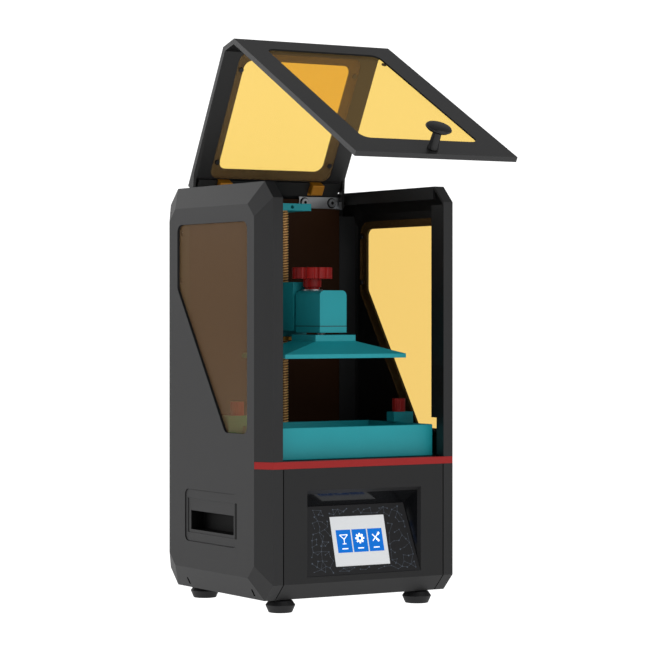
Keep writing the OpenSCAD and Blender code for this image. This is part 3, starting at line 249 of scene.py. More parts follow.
class PrinterSizes(bpy.types.PropertyGroup):
    """Sizes of what the scene adds to the CAD pieces."""

    edge: size_prop("Rounding of sheet edges", 0.9)
    fine_edge: size_prop("Rounding of small pieces' edges", 0.35)
    lid_edge: size_prop("Rounding of the lid frame's edges", 0.63)
    # as fine as a real coat's grain: under a pixel from afar, where it only softens the highlights
    grain: size_prop("Grain of the coats", 0.5)
    grain_depth: size_prop("Depth of the coats' grain", 0.05)
    # coarser than real brushed lines, so that they show from near
    brush: size_prop("Spacing of brushed lines", 0.3)
    # a coat's unevenness is drawn this coarse so that it shows from afar
    mottle: size_prop("Size of the coats' uneven patches", 30)
    # coarser than a real thread, whose ridges would run together at this distance
    thread_pitch: size_prop("Pitch of the lead screw's ridges", 2.6)
    thread_depth: size_prop("Depth of the lead screw's thread", 0.8)
    # painted shade: the cup's faces deeper than this are black
    cup_skin: size_prop("Depth below which a handle's cup is black", 4.0)
    # a dark block stands in this gap as painted shadow
    gap_w: size_prop("Width of the gap in a handle's face", 4.4)
    gap_t: size_prop("Depth of the gap in a handle's face", 1.8)
    gap_h: size_prop("Height of the gap in a handle's face", 33.5)
    gap_in: size_prop("Distance of that gap from the handle's front edge", 3.4)
    plate_t: size_prop("Thickness of the hinge plates and of their screw heads", 2.0)
    seam: size_prop("Width of the clamp block's seam", 0.7)
    washer_d: size_prop("Diameter of the knob's washer", 21)
    washer_t: size_prop("Thickness of the knob's washer", 1.2)
    ink: size_prop("Thickness of printed marks", 0.06)
    line: size_prop("Width of the overlay's lines", 0.18)
    dot: size_prop("Diameter of the overlay's dots", 1.5)
    apart: size_prop("Least distance between the overlay's dots", 4.6)
    dots: IntProperty(name="Dots", description="Number of dots printed on the overlay", default=150, min=0)


class PrinterStage(bpy.types.PropertyGroup):
    """Camera, floor and lights."""

    azimuth: FloatProperty(
        name="Azimuth",
        description="Turn of the camera about the printer",
        subtype="ANGLE",
        default=math.radians(-31.44),
    )
    elevation: FloatProperty(
        name="Elevation",
        description="Height angle of the camera",
        subtype="ANGLE",
        default=math.radians(0.26),
    )
    distance: size_prop("Distance of the camera", 2460.65)
    target: FloatVectorProperty(
        name="Target",
        description="Point the camera looks at",
        subtype="TRANSLATION",
        default=(0.02343, 0.07795, 0.26664),
    )
    lens: FloatProperty(name="Lens", description="Focal length in millimetres", unit="CAMERA", default=139.15)
    key: power_prop("Key light", "Power of the large light", 11)
    rim: power_prop("Rim light", "Power of the light from behind", 8)
    front: power_prop("Front light", "Power of the light from the front", 13.5)
    white: strength_prop("White", "Brightness of the background and floor as seen", 1.22)
    bounce: strength_prop("Bounce", "Light that the floor gives back", 0.55)
    world: strength_prop("Surroundings", "Strength of the white surroundings", 0.3)


def colours():
    """The colour settings of the scene."""
    return bpy.context.scene.printer_colours


def sizes():
    """The size settings of the scene."""
    return bpy.context.scene.printer_sizes


def add_node(tree, kind, links=None, **values):
    """A shader node with its properties, its socket values and its incoming links set."""
    node = tree.nodes.new(kind)
    for key, value in values.items():
        if key in node.bl_rna.properties:
            setattr(node, key, value)
        else:
            node.inputs[key.replace("_", " ")].default_value = value
    for key, socket in (links or {}).items():
        tree.links.new(socket, node.inputs[key])
    return node


def new_material(name):
    """An empty node material, or the one already made under that name."""
    material = bpy.data.materials.get(name)
    if material:
        return material, None
    material = bpy.data.materials.new(name)
    material.use_nodes = True
    material.node_tree.nodes.clear()
    return material, material.node_tree


def rgba(colour):
    """A colour with full alpha, as shader sockets take it."""
    return (*colour, 1.0)


def surface(tree, shader):
    """Gives a material its surface."""
    add_node(tree, "ShaderNodeOutputMaterial", {"Surface": shader})


def grained(name, colour, roughness, metallic=0.0, bump=0.12, shine=0.5):
    """A coated or moulded surface with a fine grain, and a slight unevenness of its shade and gloss."""
    material, tree = new_material(name)
    if tree:
        coords = add_node(tree, "ShaderNodeTexCoord")
        place = {"Vector": coords.outputs["Object"]}
        noise = add_node(tree, "ShaderNodeTexNoise", place, Scale=1 / sizes().grain, Detail=GRAIN_DETAIL)
        cloud = add_node(tree, "ShaderNodeTexNoise", place, Scale=1 / sizes().mottle, Detail=PATCH_DETAIL)
        relief = add_node(
            tree,
            "ShaderNodeBump",
            {"Height": noise.outputs["Fac"]},
            Strength=bump,
            Distance=sizes().grain_depth,
        )
        shade = add_node(
            tree,
            "ShaderNodeMixRGB",
            {"Fac": cloud.outputs["Fac"]},
            Color1=rgba([c * (1 - UNEVEN) for c in colour]),
            Color2=rgba([c * (1 + UNEVEN) for c in colour]),
        )
        gloss = add_node(
            tree,
            "ShaderNodeMapRange",
            {"Value": noise.outputs["Fac"]},
            To_Min=roughness * (1 - UNEVEN),
            To_Max=roughness * (1 + UNEVEN),
        )
        links = {
            "Normal": relief.outputs["Normal"],
            "Base Color": shade.outputs["Color"],
            "Roughness": gloss.outputs["Result"],
        }
        shader = add_node(
            tree, "ShaderNodeBsdfPrincipled", links, Metallic=metallic, Specular_IOR_Level=shine
        )
        surface(tree, shader.outputs["BSDF"])
    return material


def brushed(name, colour, roughness):
    """Bare metal with fine lines drawn along Z."""
    material, tree = new_material(name)
    if tree:
        coords = add_node(tree, "ShaderNodeTexCoord")
        place = {"Vector": coords.outputs["Object"]}
        stretch = add_node(tree, "ShaderNodeMapping", place, Scale=BRUSH_STRETCH)
        lines = {"Vector": stretch.outputs["Vector"]}
        noise = add_node(tree, "ShaderNodeTexNoise", lines, Scale=1 / sizes().brush)
        gloss = add_node(
            tree,
            "ShaderNodeMapRange",
            {"Value": noise.outputs["Fac"]},
            To_Min=roughness * BRUSH_LOW,
            To_Max=roughness * BRUSH_HIGH,
        )
        shader = add_node(
            tree,
            "ShaderNodeBsdfPrincipled",
            {"Roughness": gloss.outputs["Result"]},
            Base_Color=rgba(colour),
            Metallic=1.0,
        )
        surface(tree, shader.outputs["BSDF"])
    return material


def tinted_sheet(name, colour, haze, share):
    """Clear tinted sheet: each of its two faces passes the square root of its tint, under a thin haze.

    The camera sees the tint and the haze. Light on its way to other surfaces passes untinted.
    """
    material, tree = new_material(name)
    if tree:
        clear = add_node(tree, "ShaderNodeBsdfTransparent", Color=rgba([math.sqrt(c) for c in colour]))
        veil = add_node(
            tree, "ShaderNodeBsdfPrincipled", Base_Color=rgba(haze), Roughness=PANE_ROUGHNESS
        )
        layers = {1: clear.outputs["BSDF"], 2: veil.outputs["BSDF"]}
        mix = add_node(tree, "ShaderNodeMixShader", layers, Fac=share)
        lamp = add_node(tree, "ShaderNodeBsdfTransparent", Color=rgba([LAMP_PASS] * 3))
        path = add_node(tree, "ShaderNodeLightPath")
        seen = add_node(
            tree,
            "ShaderNodeMixShader",
            {0: path.outputs["Is Camera Ray"], 1: lamp.outputs["BSDF"], 2: mix.outputs["Shader"]},
        )
        surface(tree, seen.outputs["Shader"])
    return material


def lit(name, colour, strength):
    """A lit part of the screen."""
    material, tree = new_material(name)
    if tree:
        shader = add_node(
            tree,
            "ShaderNodeBsdfPrincipled",
            Base_Color=rgba(colour),
            Roughness=SCREEN_ROUGHNESS,
            Specular_IOR_Level=SCREEN_SHINE,
            Emission_Color=rgba(colour),
            Emission_Strength=strength,
        )
        surface(tree, shader.outputs["BSDF"])
    return material


def studio_floor(name, colour, bounce, white):
    """The floor: plain white to the camera, and a pale matt ground that glows for everything else."""
    material, tree = new_material(name)
    if tree:
        matt = add_node(tree, "ShaderNodeBsdfDiffuse", Color=rgba(colour))
        glow = add_node(tree, "ShaderNodeEmission", Strength=bounce)
        pale = add_node(
            tree, "ShaderNodeAddShader", {0: matt.outputs["BSDF"], 1: glow.outputs["Emission"]}
        )
        bright = add_node(tree, "ShaderNodeEmission", Strength=white)
        path = add_node(tree, "ShaderNodeLightPath")
        mix = add_node(
            tree,
            "ShaderNodeMixShader",
            {0: path.outputs["Is Camera Ray"], 1: pale.outputs["Shader"], 2: bright.outputs["Emission"]},
        )
        surface(tree, mix.outputs["Shader"])
    return material


def materials():
    """The printer's materials by short name, made on first use."""
    c = colours()
    stage = bpy.context.scene.printer_stage
    return {
        # powder-coated steel: an even satin grey, with a fine grain that breaks its highlights
        "shell": lambda: grained("powder_coat_grey", c.shell, roughness=0.5, shine=0.4),
        # the same coat in black: darker faces whose edges still catch a thin light
        "cover": lambda: grained("powder_coat_black", c.cover, roughness=0.5, shine=0.4),
        # matt black paint of the chamber's parts, also laid on the shells' and the lid's inward faces as
        # painted shade: dark, with a dull sheen at low angles
        "inner": lambda: grained("matt_paint_black", c.inner, roughness=0.45, bump=0.03),
        # dark matt paint, tinted brown as painted amber light from the side window: the rear wall looks warm
        # beside the amber panes
        "wall": lambda: grained("matt_paint_brown", c.wall, roughness=0.5, bump=0.03, shine=0.1),
        # painted shade: black without shine, so it reads as a gap or a hole
        "painted_shade": lambda: grained("matt_lining_black", c.painted_shade, roughness=0.6, bump=0.03, shine=0.15),
        # satin moulded plastic: soft highlights along the lid's bends
        "lid": lambda: grained("satin_moulded_plastic", c.lid, roughness=0.42),
        # moulded black plastic: small soft highlights on round pieces
        "black": lambda: grained("moulded_plastic_black", c.black, roughness=0.38),
        # polished black plastic: it mirrors the bright floor faintly round the screen
        "gloss": lambda: grained("gloss_plastic_black", c.bezel, roughness=0.1, bump=0.0, shine=0.25),
        # printed plastic sheet: a dull dark ground for pale marks
        "overlay": lambda: grained("printed_plastic_sheet", c.overlay, roughness=0.42, bump=0.0, shine=0.3),
        # overlay ink: grey marks without shine, duller than the screen
        "print": lambda: grained("screen_printed_ink", c.mark, roughness=0.35, bump=0.0),
        # painted strip: one even red line
        "trim": lambda: grained("painted_strip_red", c.trim, roughness=0.38, shine=0.3),
        # aluminium blasted and dyed teal: deep even colour, with lighter edges
        "teal": lambda: grained("anodised_aluminium_teal", c.teal, roughness=0.42, bump=0.1, shine=0.4),
        # aluminium turned and dyed red: a soft shine on each lobe and rib
        "knob": lambda: grained("anodised_aluminium_red", c.knob, roughness=0.36, bump=0.05, shine=0.3),
        # aluminium dyed gold: a warm, partly metallic shine
        "gold": lambda: grained("anodised_aluminium_gold", c.gold, roughness=0.35, metallic=0.4, bump=0.05),
        # cast amber acrylic: bright yellow before white, a brown haze before black
        "amber": lambda: tinted_sheet("amber_acrylic", c.amber, c.haze, share=0.21),
        # its inner face: hardly any haze, because little light falls on it
        "amber_in": lambda: tinted_sheet("amber_acrylic_inside", c.amber, c.haze, share=0.05),
        # the lid's lighter acrylic: two panes in line still look orange; its haze colour is brighter than the
        # side windows' as painted light from above
        "lid_amber": lambda: tinted_sheet("amber_acrylic_lid", c.lid_amber, c.lid_haze, share=0.12),
        # stretched clear film: nearly unseen, with a faint grey sheen
        "film": lambda: tinted_sheet("clear_film", c.film, c.film_haze, share=0.1),
        # brushed steel: grey, with lines that draw its highlights out
        "steel": lambda: brushed("brushed_steel", c.steel, roughness=0.3),
        # satin aluminium: paler than steel, with wider highlights
        "aluminium": lambda: brushed("satin_aluminium", c.aluminium, roughness=0.38),
        # turned brass: yellow, with narrow highlights
        "brass": lambda: brushed("turned_brass", c.brass, roughness=0.32),
        # rolled bronze ridges, brighter than the metal as painted highlight in the dim chamber
        "screw": lambda: grained("bronze_screw", c.thread, roughness=0.36, metallic=0.1, bump=0.05),
        # painted shade: bronze darkened between the ridges, so that the thread shows
        "root": lambda: grained("oiled_bronze", c.root, roughness=0.4, metallic=0.3, bump=0.05),
        # moulded rubber: black, with no clear highlight
        "rubber": lambda: grained("moulded_rubber", c.rubber, roughness=0.55),
        # lacquered board: dark green under a thin gloss
        "board": lambda: grained("lacquered_board", c.board, roughness=0.35),
        # dark screen glass: black, with sharp reflections
        "mask": lambda: grained("dark_screen_glass", c.glass, roughness=0.08, bump=0.0),
        # backlit display glass, its buttons and symbols: light of their own and hardly any reflection
        "screen": lambda: lit("backlit_glass_grey", c.screen, strength=0.42),
        "button": lambda: lit("backlit_glass_blue", c.button, strength=0.8),
        "symbol": lambda: lit("backlit_glass_white", c.symbol, strength=0.8),
        # pale studio floor: pure white in view, with a soft light on the undersides
        "floor": lambda: studio_floor("pale_floor", c.floor, stage.bounce, stage.white),
    }


def paint(obj, key):
    """Gives an object one material."""
    obj.data.materials.clear()
    obj.data.materials.append(materials()[key]())


def finish_mesh(bm, name, key, sharp=SHARP):
    """Makes an object of a bmesh, smooth but for edges sharper than an angle."""
    bmesh.ops.recalc_face_normals(bm, faces=bm.faces)
    for face in bm.faces:
        face.smooth = True
    for edge in bm.edges:
        edge.smooth = len(edge.link_faces) == 2 and edge.calc_face_angle(0) < math.radians(sharp)
    mesh = bpy.data.meshes.new(name)
    bm.to_mesh(mesh)
    bm.free()
    obj = bpy.data.objects.new(name, mesh)
    bpy.context.scene.collection.objects.link(obj)
    paint(obj, key)
    return obj


def round_edges(obj, width, sharp):
    """A bevel along the sharp edges, with its faces' normals kept flat."""
    bevel = obj.modifiers.new("Rounded edges", "BEVEL")
    bevel.width = width
    bevel.segments = EDGE_STEPS
    bevel.limit_method = "ANGLE"
    bevel.angle_limit = math.radians(sharp)
    bevel.harden_normals = True
    bevel.use_clamp_overlap = True


def facing(point):
    """A test for the faces that look towards a point."""
    return lambda face: (point - face.center).dot(face.normal) > 0


def inner_faces(node):
    """A test for the faces of a side piece that look into the chamber."""
    out = math.copysign(1, middle(node).x)
    return lambda face: face.normal.x * out < -INWARD


def ends(node):
    """The low and the high corner of a CAD node's box."""
    low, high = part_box(node)
    return Vector(low), Vector(high)


def middle(node):
    """The middle of a CAD node's box."""
    low, high = ends(node)
    return (low + high) / 2


def go_with(obj, node):
    """Gives an object the body of a CAD node."""
    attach(obj, BODIES[node])


def dress(node, key, width=0.0, sharp=SHARP, other=None, where=None):
    """A copy of one CAD node with clean faces, rounded edges and a material, and another on chosen faces."""
    bm = bmesh.new()
    bm.from_mesh(frame["nodes"][node].data)
    bmesh.ops.remove_doubles(bm, verts=bm.verts, dist=MERGE)
    bmesh.ops.dissolve_limit(
        bm, angle_limit=math.radians(FLAT), use_dissolve_boundaries=False, verts=bm.verts, edges=bm.edges
    )
    obj = finish_mesh(bm, f"{node}_look", key, sharp)
    if other:
        obj.data.materials.append(materials()[other]())
        for face in obj.data.polygons:
            face.material_index = int(where(face))
    if width:
        round_edges(obj, width, sharp)
    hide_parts(node)
    go_with(obj, node)


def dress_all(nodes, key, width=0.0):
    """Dresses several CAD nodes alike."""
    for node in nodes:
        dress(node, key, width)


def add_detail(bm, name, node, key):
    """A piece of the scene's own that goes with a CAD node."""
    go_with(finish_mesh(bm, name, key), node)


class PrinterOperator:
    """What the printer's operators share."""

    bl_options = {"REGISTER", "UNDO"}


class PRINTER_OT_casing(PrinterOperator, bpy.types.Operator):
    """Dresses the shells, covers and inner walls"""

    bl_idname = "printer.casing"
    bl_label = "Casing"

    def execute(self, context):
        edge = sizes().edge
        for node in ("left_shell", "right_shell"):
            # the inward faces take the black paint as painted shade
            dress(node, "shell", edge, SHELL_SHARP, "inner", inner_faces(node))
        dress_all(["front_panel", "rear_cover", "base_plate"], "cover", edge)
        # the rear wall's brown is painted amber light
        dress("back_wall", "wall", sizes().fine_edge)
        dress("deck_plate", "inner", sizes().fine_edge)
        return {"FINISHED"}


class PRINTER_OT_trim(PrinterOperator, bpy.types.Operator):
    """Dresses the coloured trim strip"""

    bl_idname = "printer.trim"
    bl_label = "Trim strip"

    def execute(self, context):
        dress("trim_strip", "trim", sizes().fine_edge)
        return {"FINISHED"}


class PRINTER_OT_panes(PrinterOperator, bpy.types.Operator):
    """Dresses the tinted panes of the sides and the lid"""

    bl_idname = "printer.panes"
    bl_label = "Tinted panes"

    def execute(self, context):
        for node in ("left_window", "right_window"):
            dress(node, "amber", other="amber_in", where=inner_faces(node))
        dress_all(["lid_top_pane", "lid_front_pane"], "lid_amber")
        return {"FINISHED"}


class PRINTER_OT_handles(PrinterOperator, bpy.types.Operator):
    """Dresses the finger cups in the sides"""

    bl_idname = "printer.handles"
    bl_label = "Handles"

    def execute(self, context):
        for node in ("left_handle", "right_handle"):
            low, high = ends(node)
            face_x = max(abs(low.x), abs(high.x))
            self.cup(node, face_x - sizes().cup_skin)
            self.gap(node, low, high, math.copysign(face_x - sizes().gap_t / 2 + sizes().ink, low.x))
        return {"FINISHED"}

    def cup(self, node, deep):
        """The handle, its faces nearer the printer's middle than a distance painted black as shade in the
        cup.
        """
        dress(
            node,
            "shell",
            sizes().fine_edge,
            other="painted_shade",
            where=lambda face: abs(face.center.x) < deep,
        )

    def gap(self, node, low, high, x):
        """A dark block standing in the upright gap at the front end of the sunken face, as painted shadow."""
        s = sizes()
        bm = bmesh.new()
        place = Matrix.Translation((x, low.y + s.gap_in, (low.z + high.z) / 2))
        size = Matrix.Diagonal((s.gap_t, s.gap_w, s.gap_h, 1))
        bmesh.ops.create_cube(bm, size=1, matrix=place @ size)
        add_detail(bm, f"{node}_gap", node, "painted_shade")


class PRINTER_OT_feet(PrinterOperator, bpy.types.Operator):
    """Dresses the feet"""

    bl_idname = "printer.feet"
    bl_label = "Feet"

    def execute(self, context):
        dress("feet", "rubber", sizes().fine_edge)
        return {"FINISHED"}


class PRINTER_OT_fasteners(PrinterOperator, bpy.types.Operator):
    """Dresses the small screws"""

    bl_idname = "printer.fasteners"
    bl_label = "Screws"

    def execute(self, context):
        dress_all(["window_screws", "lid_screws"], "black", sizes().fine_edge)
        dress("foot_screws", "steel", sizes().fine_edge)
        return {"FINISHED"}


def panel_frame():
    """Matrix of the tilted panel: X across, Y up the slope, Z out of its face, at its middle."""
    mesh = frame["nodes"]["touch_screen"].data
    normal = min((polygon.normal for polygon in mesh.polygons), key=lambda n: n.y)
    up = Vector((0, normal.z, -normal.y))
    face = max(vertex.co.dot(normal) for vertex in mesh.vertices)
    centre = middle("touch_screen")
    origin = Vector((0, centre.y, centre.z))
    origin += normal * (face - origin.dot(normal))
    return Matrix(
        (
            (1, up.x, normal.x, origin.x),
            (0, up.y, normal.y, origin.y),
            (0, up.z, normal.z, origin.z),
            (0, 0, 0, 1),
        )
    )


def slab(bm, x, y, w, h, z, t, turn=0.0):
    """A thin block around a point, turned about Z."""
    place = Matrix.Translation((x, y, z + t / 2)) @ Matrix.Rotation(turn, 4, "Z")
    bmesh.ops.create_cube(bm, size=1, matrix=place @ Matrix.Diagonal((w, h, t, 1)))


def disc(bm, x, y, radius, z, t, sides=ROUND_SIDES):
    """A thin round block around a point."""
    place = Matrix.Translation((x, y, z + t / 2))
    bmesh.ops.create_cone(
        bm, cap_ends=True, segments=sides, radius1=radius, radius2=radius, depth=t, matrix=place
    )


def gear():
    """Strokes of a gear: a ring of blocks with teeth around it."""
    strokes = []
    for i in range(TEETH):
        turn = i * 2 * math.pi / TEETH
        between = turn + math.pi / TEETH
        for radius, size, bend in (
            (TOOTH_RADIUS, TOOTH, turn),
            (RING_RADIUS, RING_BLOCK, turn),
            (RING_RADIUS, RING_BLOCK, between),
        ):
            strokes.append((radius * math.cos(bend), radius * math.sin(bend), size, size, bend))
    return strokes


class PRINTER_OT_screen(PrinterOperator, bpy.types.Operator):
    """Dresses the screen's recess and draws the buttons and the overlay's pattern"""

    bl_idname = "printer.screen"
    bl_label = "Screen"

    def execute(self, context):
        s = sizes()
        dress("screen_bezel", "gloss", s.fine_edge)
        dress("overlay_panel", "overlay", s.fine_edge)
        dress("touch_screen", "screen", s.fine_edge)
        dress("screen_board", "board")
        place = panel_frame()
        low, high = ends("touch_screen")
        width = high.x - low.x
        self.buttons(place, width, s.ink)
        self.pattern(place, width, s)
        return {"FINISHED"}

    def buttons(self, place, width, ink):
        """Three buttons in a row, each with a symbol and a bar below it."""
        w, h = width * BUTTON_W, width * BUTTON_H
        unit = w * SYMBOL_UNIT
        plates, marks = bmesh.new(), bmesh.new()
        for i, strokes in enumerate((FUNNEL, gear(), TOOLS)):
            x = (i - 1) * width * BUTTON_STEP
            slab(plates, x, 0, w, h, 0, ink)
            for across, up, wide, high, turn in strokes:
                y = h * SYMBOL_UP + up * unit
                slab(marks, x + across * unit, y, wide * unit, high * unit, ink, ink, turn)
            slab(marks, x, -h * BAR_DOWN, w * BAR_W, h * BAR_H, ink, ink)
        for bm, name, key in ((plates, "screen_buttons", "button"), (marks, "screen_symbols", "symbol")):
            bm.transform(place)
            add_detail(bm, name, "touch_screen", key)

    def pattern(self, place, width, s):
        """Dots spread evenly over the overlay, joined to their near neighbours by thin lines."""
        draw = random.Random(PRINT_SEED)
        edge, tall = width / 2 + PRINT_FREE, width * FREE_HALF

        def free(point):
            """Whether a point is clear of the screen."""
            return abs(point.x) > edge or abs(point.y) > tall

        spots = self.spots(draw, place, free, s)
        bm = bmesh.new()
        for i, a in enumerate(spots):
            radius = s.dot / 2 * draw.uniform(PRINT_LEAST, 1.0)
            disc(bm, a.x, a.y, radius, PRINT_LIFT, s.ink, DOT_SIDES)
            near = sorted(spots[i + 1 :], key=lambda b: (b - a).length)[: draw.choice(PRINT_LINES)]
            for b in near:
                mid, span = (a + b) / 2, b - a
                if span.length < PRINT_REACH * s.apart and free(mid):
                    turn = math.atan2(span.y, span.x)
                    slab(bm, mid.x, mid.y, span.length, s.line, PRINT_LIFT, s.ink, turn)
        bm.transform(place)
        add_detail(bm, "overlay_pattern", "overlay_panel", "print")

    def spots(self, draw, place, free, s):
        """Points on the tapering overlay, none near another and none on the screen."""
        low, high = ends("overlay_panel")
        inverse = place.inverted()
        y0 = (inverse @ Vector((0, low.y, low.z))).y + PRINT_END
        y1 = (inverse @ Vector((0, high.y, high.z))).y - PRINT_END
        spots = []
        for _ in range(s.dots * PRINT_TRIES):
            y = draw.uniform(y0, y1)
            half = high.x - PRINT_SIDE - (y - y0) / (y1 - y0) * PRINT_TAPER
            spot = Vector((draw.uniform(-half, half), y))
            apart = all((spot - other).length > s.apart for other in spots)
            if free(spot) and apart and len(spots) < s.dots:
                spots.append(spot)
        return spots


class PRINTER_OT_lift(PrinterOperator, bpy.types.Operator):
    """Dresses the column, its rail, bracket and carriage"""

    bl_idname = "printer.lift"
    bl_label = "Lift"

    def execute(self, context):
        fine = sizes().fine_edge
        dress("z_column", "inner", fine)
        dress_all(["z_rail", "z_bearing", "z_carriage"], "steel", fine)
        dress_all(["z_top_bracket", "z_arm"], "teal", sizes().edge)
        dress("screw_nut", "brass", fine)
        dress("screw_coupler", "aluminium", fine)
        dress("z_motor", "black", sizes().edge)
        return {"FINISHED"}


class PRINTER_OT_lead_screw(PrinterOperator, bpy.types.Operator):
    """Models the lead screw with its thread"""

    bl_idname = "printer.lead_screw"
    bl_label = "Lead screw"

    def execute(self, context):
        s = sizes()
        low, high = ends("lead_screw")
        radius = (high.x - low.x) / 2
        self.thread(low, high, radius, radius - s.thread_depth, s)
        self.core(low, high, radius - s.thread_depth)
        return {"FINISHED"}

    def thread(self, low, high, crest, root, s):
        """The ridge that winds up the screw, with its foot just inside the core."""
        centre = (low + high) / 2
        foot = root - s.ink
        bm = bmesh.new()
        verts = [
            bm.verts.new((centre.x + radius, centre.y, low.z + share * s.thread_pitch))
            for radius, share in zip((foot, crest, crest, foot), RIDGE)
        ]
        edges = [bm.edges.new(pair) for pair in zip(verts, verts[1:] + verts[:1])]
        turns = int((high.z - low.z) / s.thread_pitch) - 1
        bmesh.ops.spin(
            bm,
            geom=verts + edges,
            cent=centre,
            axis=(0, 0, 1),
            angle=turns * 2 * math.pi,
            dvec=(0, 0, s.thread_pitch / THREAD_STEPS),
            steps=THREAD_STEPS * turns,
            use_merge=False,
            use_duplicate=False,
        )
        bmesh.ops.remove_doubles(bm, verts=bm.verts, dist=THREAD_MERGE)
        bmesh.ops.holes_fill(bm, edges=[edge for edge in bm.edges if edge.is_boundary])
        obj = finish_mesh(bm, "lead_screw_look", "screw", THREAD_SHARP)
        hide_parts("lead_screw")
        go_with(obj, "lead_screw")

    def core(self, low, high, radius):
        """The core between the ridges, darker as painted shade."""
        bm = bmesh.new()
        bmesh.ops.create_cone(
            bm,
            cap_ends=True,
            segments=ROUND_SIDES,
            radius1=radius,
            radius2=radius,
            depth=high.z - low.z,
            matrix=Matrix.Translation((low + high) / 2),
        )
        add_detail(bm, "lead_screw_core", "lead_screw", "root")


class PRINTER_OT_platform(PrinterOperator, bpy.types.Operator):
    """Dresses the clamp block, its knob, the levelling ball and the build plate"""

    bl_idname = "printer.platform"
    bl_label = "Platform"

    def execute(self, context):
        s = sizes()
        dress("clamp_block", "teal", s.edge)
        dress("build_plate", "teal", s.fine_edge)
        dress("clamp_knob", "knob", s.edge)
        dress("levelling_ball", "steel")
        self.seam(s)
        self.washer(s)
        return {"FINISHED"}

    def seam(self, s):
        """The thin joint line round the clamp block's lower edge."""
        low, high = ends("clamp_block")
        size, centre = high - low, (low + high) / 2
        bm = bmesh.new()
        place = Matrix.Translation((centre.x, centre.y, low.z + size.z * SEAM_UP))
        block = Matrix.Diagonal((size.x + s.ink, size.y + s.ink, s.seam, 1))
        bmesh.ops.create_cube(bm, size=1, matrix=place @ block)
        add_detail(bm, "clamp_block_seam", "clamp_block", "inner")

    def washer(self, s):
        """The steel washer between the clamp block and its knob."""
        top = ends("clamp_block")[1].z
        centre = middle("clamp_knob")
        bm = bmesh.new()
        disc(bm, centre.x, centre.y, s.washer_d / 2, top, s.washer_t, WASHER_SIDES)
        add_detail(bm, "knob_washer", "clamp_block", "steel")


class PRINTER_OT_vat(PrinterOperator, bpy.types.Operator):
    """Dresses the vat, its film, the clamps and their thumbscrews"""

    bl_idname = "printer.vat"
    bl_label = "Vat"

    def execute(self, context):
        s = sizes()
        dress("vat_frame", "teal", s.edge)
        dress("vat_clamps", "teal", s.edge)
        dress("vat_film", "film")
        dress("film_ring", "aluminium", s.fine_edge / 2)
        dress_all(["left_thumbscrew", "right_thumbscrew"], "knob", s.fine_edge)
        return {"FINISHED"}


class PRINTER_OT_lid(PrinterOperator, bpy.types.Operator):
    """Dresses the lid's frame, knob and stops"""

    bl_idname = "printer.lid"
    bl_label = "Lid"

    def execute(self, context):
        s = sizes()
        within = (middle("lid_top_pane") + middle("lid_front_pane")) / 2
        # the faces looking into the lid take the black paint as painted shade
        dress("lid_frame", "lid", s.lid_edge, other="inner", where=facing(within))
        dress("lid_knob", "black", s.edge)
        dress("lid_stops", "gold", s.edge)
        return {"FINISHED"}


class PRINTER_OT_hinges(PrinterOperator, bpy.types.Operator):
    """Dresses the hinge plates and their pins"""

    bl_idname = "printer.hinges"
    bl_label = "Hinges"

    def execute(self, context):
        dress_all(["hinge_plates", "hinge_pins"], "steel", sizes().fine_edge)
        self.screw_heads(sizes())
        return {"FINISHED"}

    def screw_heads(self, s):
        """A dark ring round each screw head of the hinge plates, and a socket in it, both painted shade of
        their recesses.
        """
        rear = ends("hinge_plates")[1].y
        front = rear - 2 * s.plate_t
        mesh = frame["nodes"]["hinge_plates"].data
        rim = [vertex.co for vertex in mesh.vertices if abs(vertex.co.y - front) < LEVEL]
        heads = []
        for co in sorted(rim, key=lambda co: co.x):
            if not heads or co.x - heads[-1][-1].x > s.plate_t:
                heads.append([])
            heads[-1].append(co)
        bm = bmesh.new()
        for head in heads:
            x = (head[0].x + head[-1].x) / 2
            z = (min(co.z for co in head) + max(co.z for co in head)) / 2
            radius = (head[-1].x - head[0].x) / 2
            disc(bm, x, z, radius * HEAD_RING, s.plate_t - rear, s.ink)
            disc(bm, x, z, radius * HEAD_SOCKET, -front, s.ink, SOCKET_SIDES)
        bm.transform(Matrix.Rotation(math.pi / 2, 4, "X"))
        add_detail(bm, "hinge_screw_rings", "hinge_plates", "painted_shade")


class PRINTER_OT_electrics(PrinterOperator, bpy.types.Operator):
    """Dresses the sockets, the lamp, the fan and the boards"""

    bl_idname = "printer.electrics"
    bl_label = "Electrics"

    def execute(self, context):
        fine = sizes().fine_edge
        dress_all(["power_inlet", "switch_housing", "switch_rocker"], "black", fine)
        dress_all(["lamp_fan_frame", "lamp_fan_rotor"], "black", fine)
        dress("usb_port", "steel", fine)
        dress_all(["main_board", "lamp_board"], "board")
        dress_all(["lamp_housing", "heat_sink"], "aluminium", fine)
        dress("board_posts", "brass")
        dress("mask_frame", "inner", fine)
        dress("mask_screen", "mask", fine)
        return {"FINISHED"}


def area_light(name, place, aim, width, height, power):
    """A soft rectangular light at a place, turned towards a point."""
    light = bpy.data.lights.new(name, "AREA")
    light.shape = "RECTANGLE"
    light.size, light.size_y = width, height
    light.energy = power
    obj = bpy.data.objects.new(name, light)
    obj.location = place
    obj.rotation_euler = (Vector(aim) - Vector(place)).to_track_quat("-Z", "Y").to_euler()
    bpy.context.scene.collection.objects.link(obj)


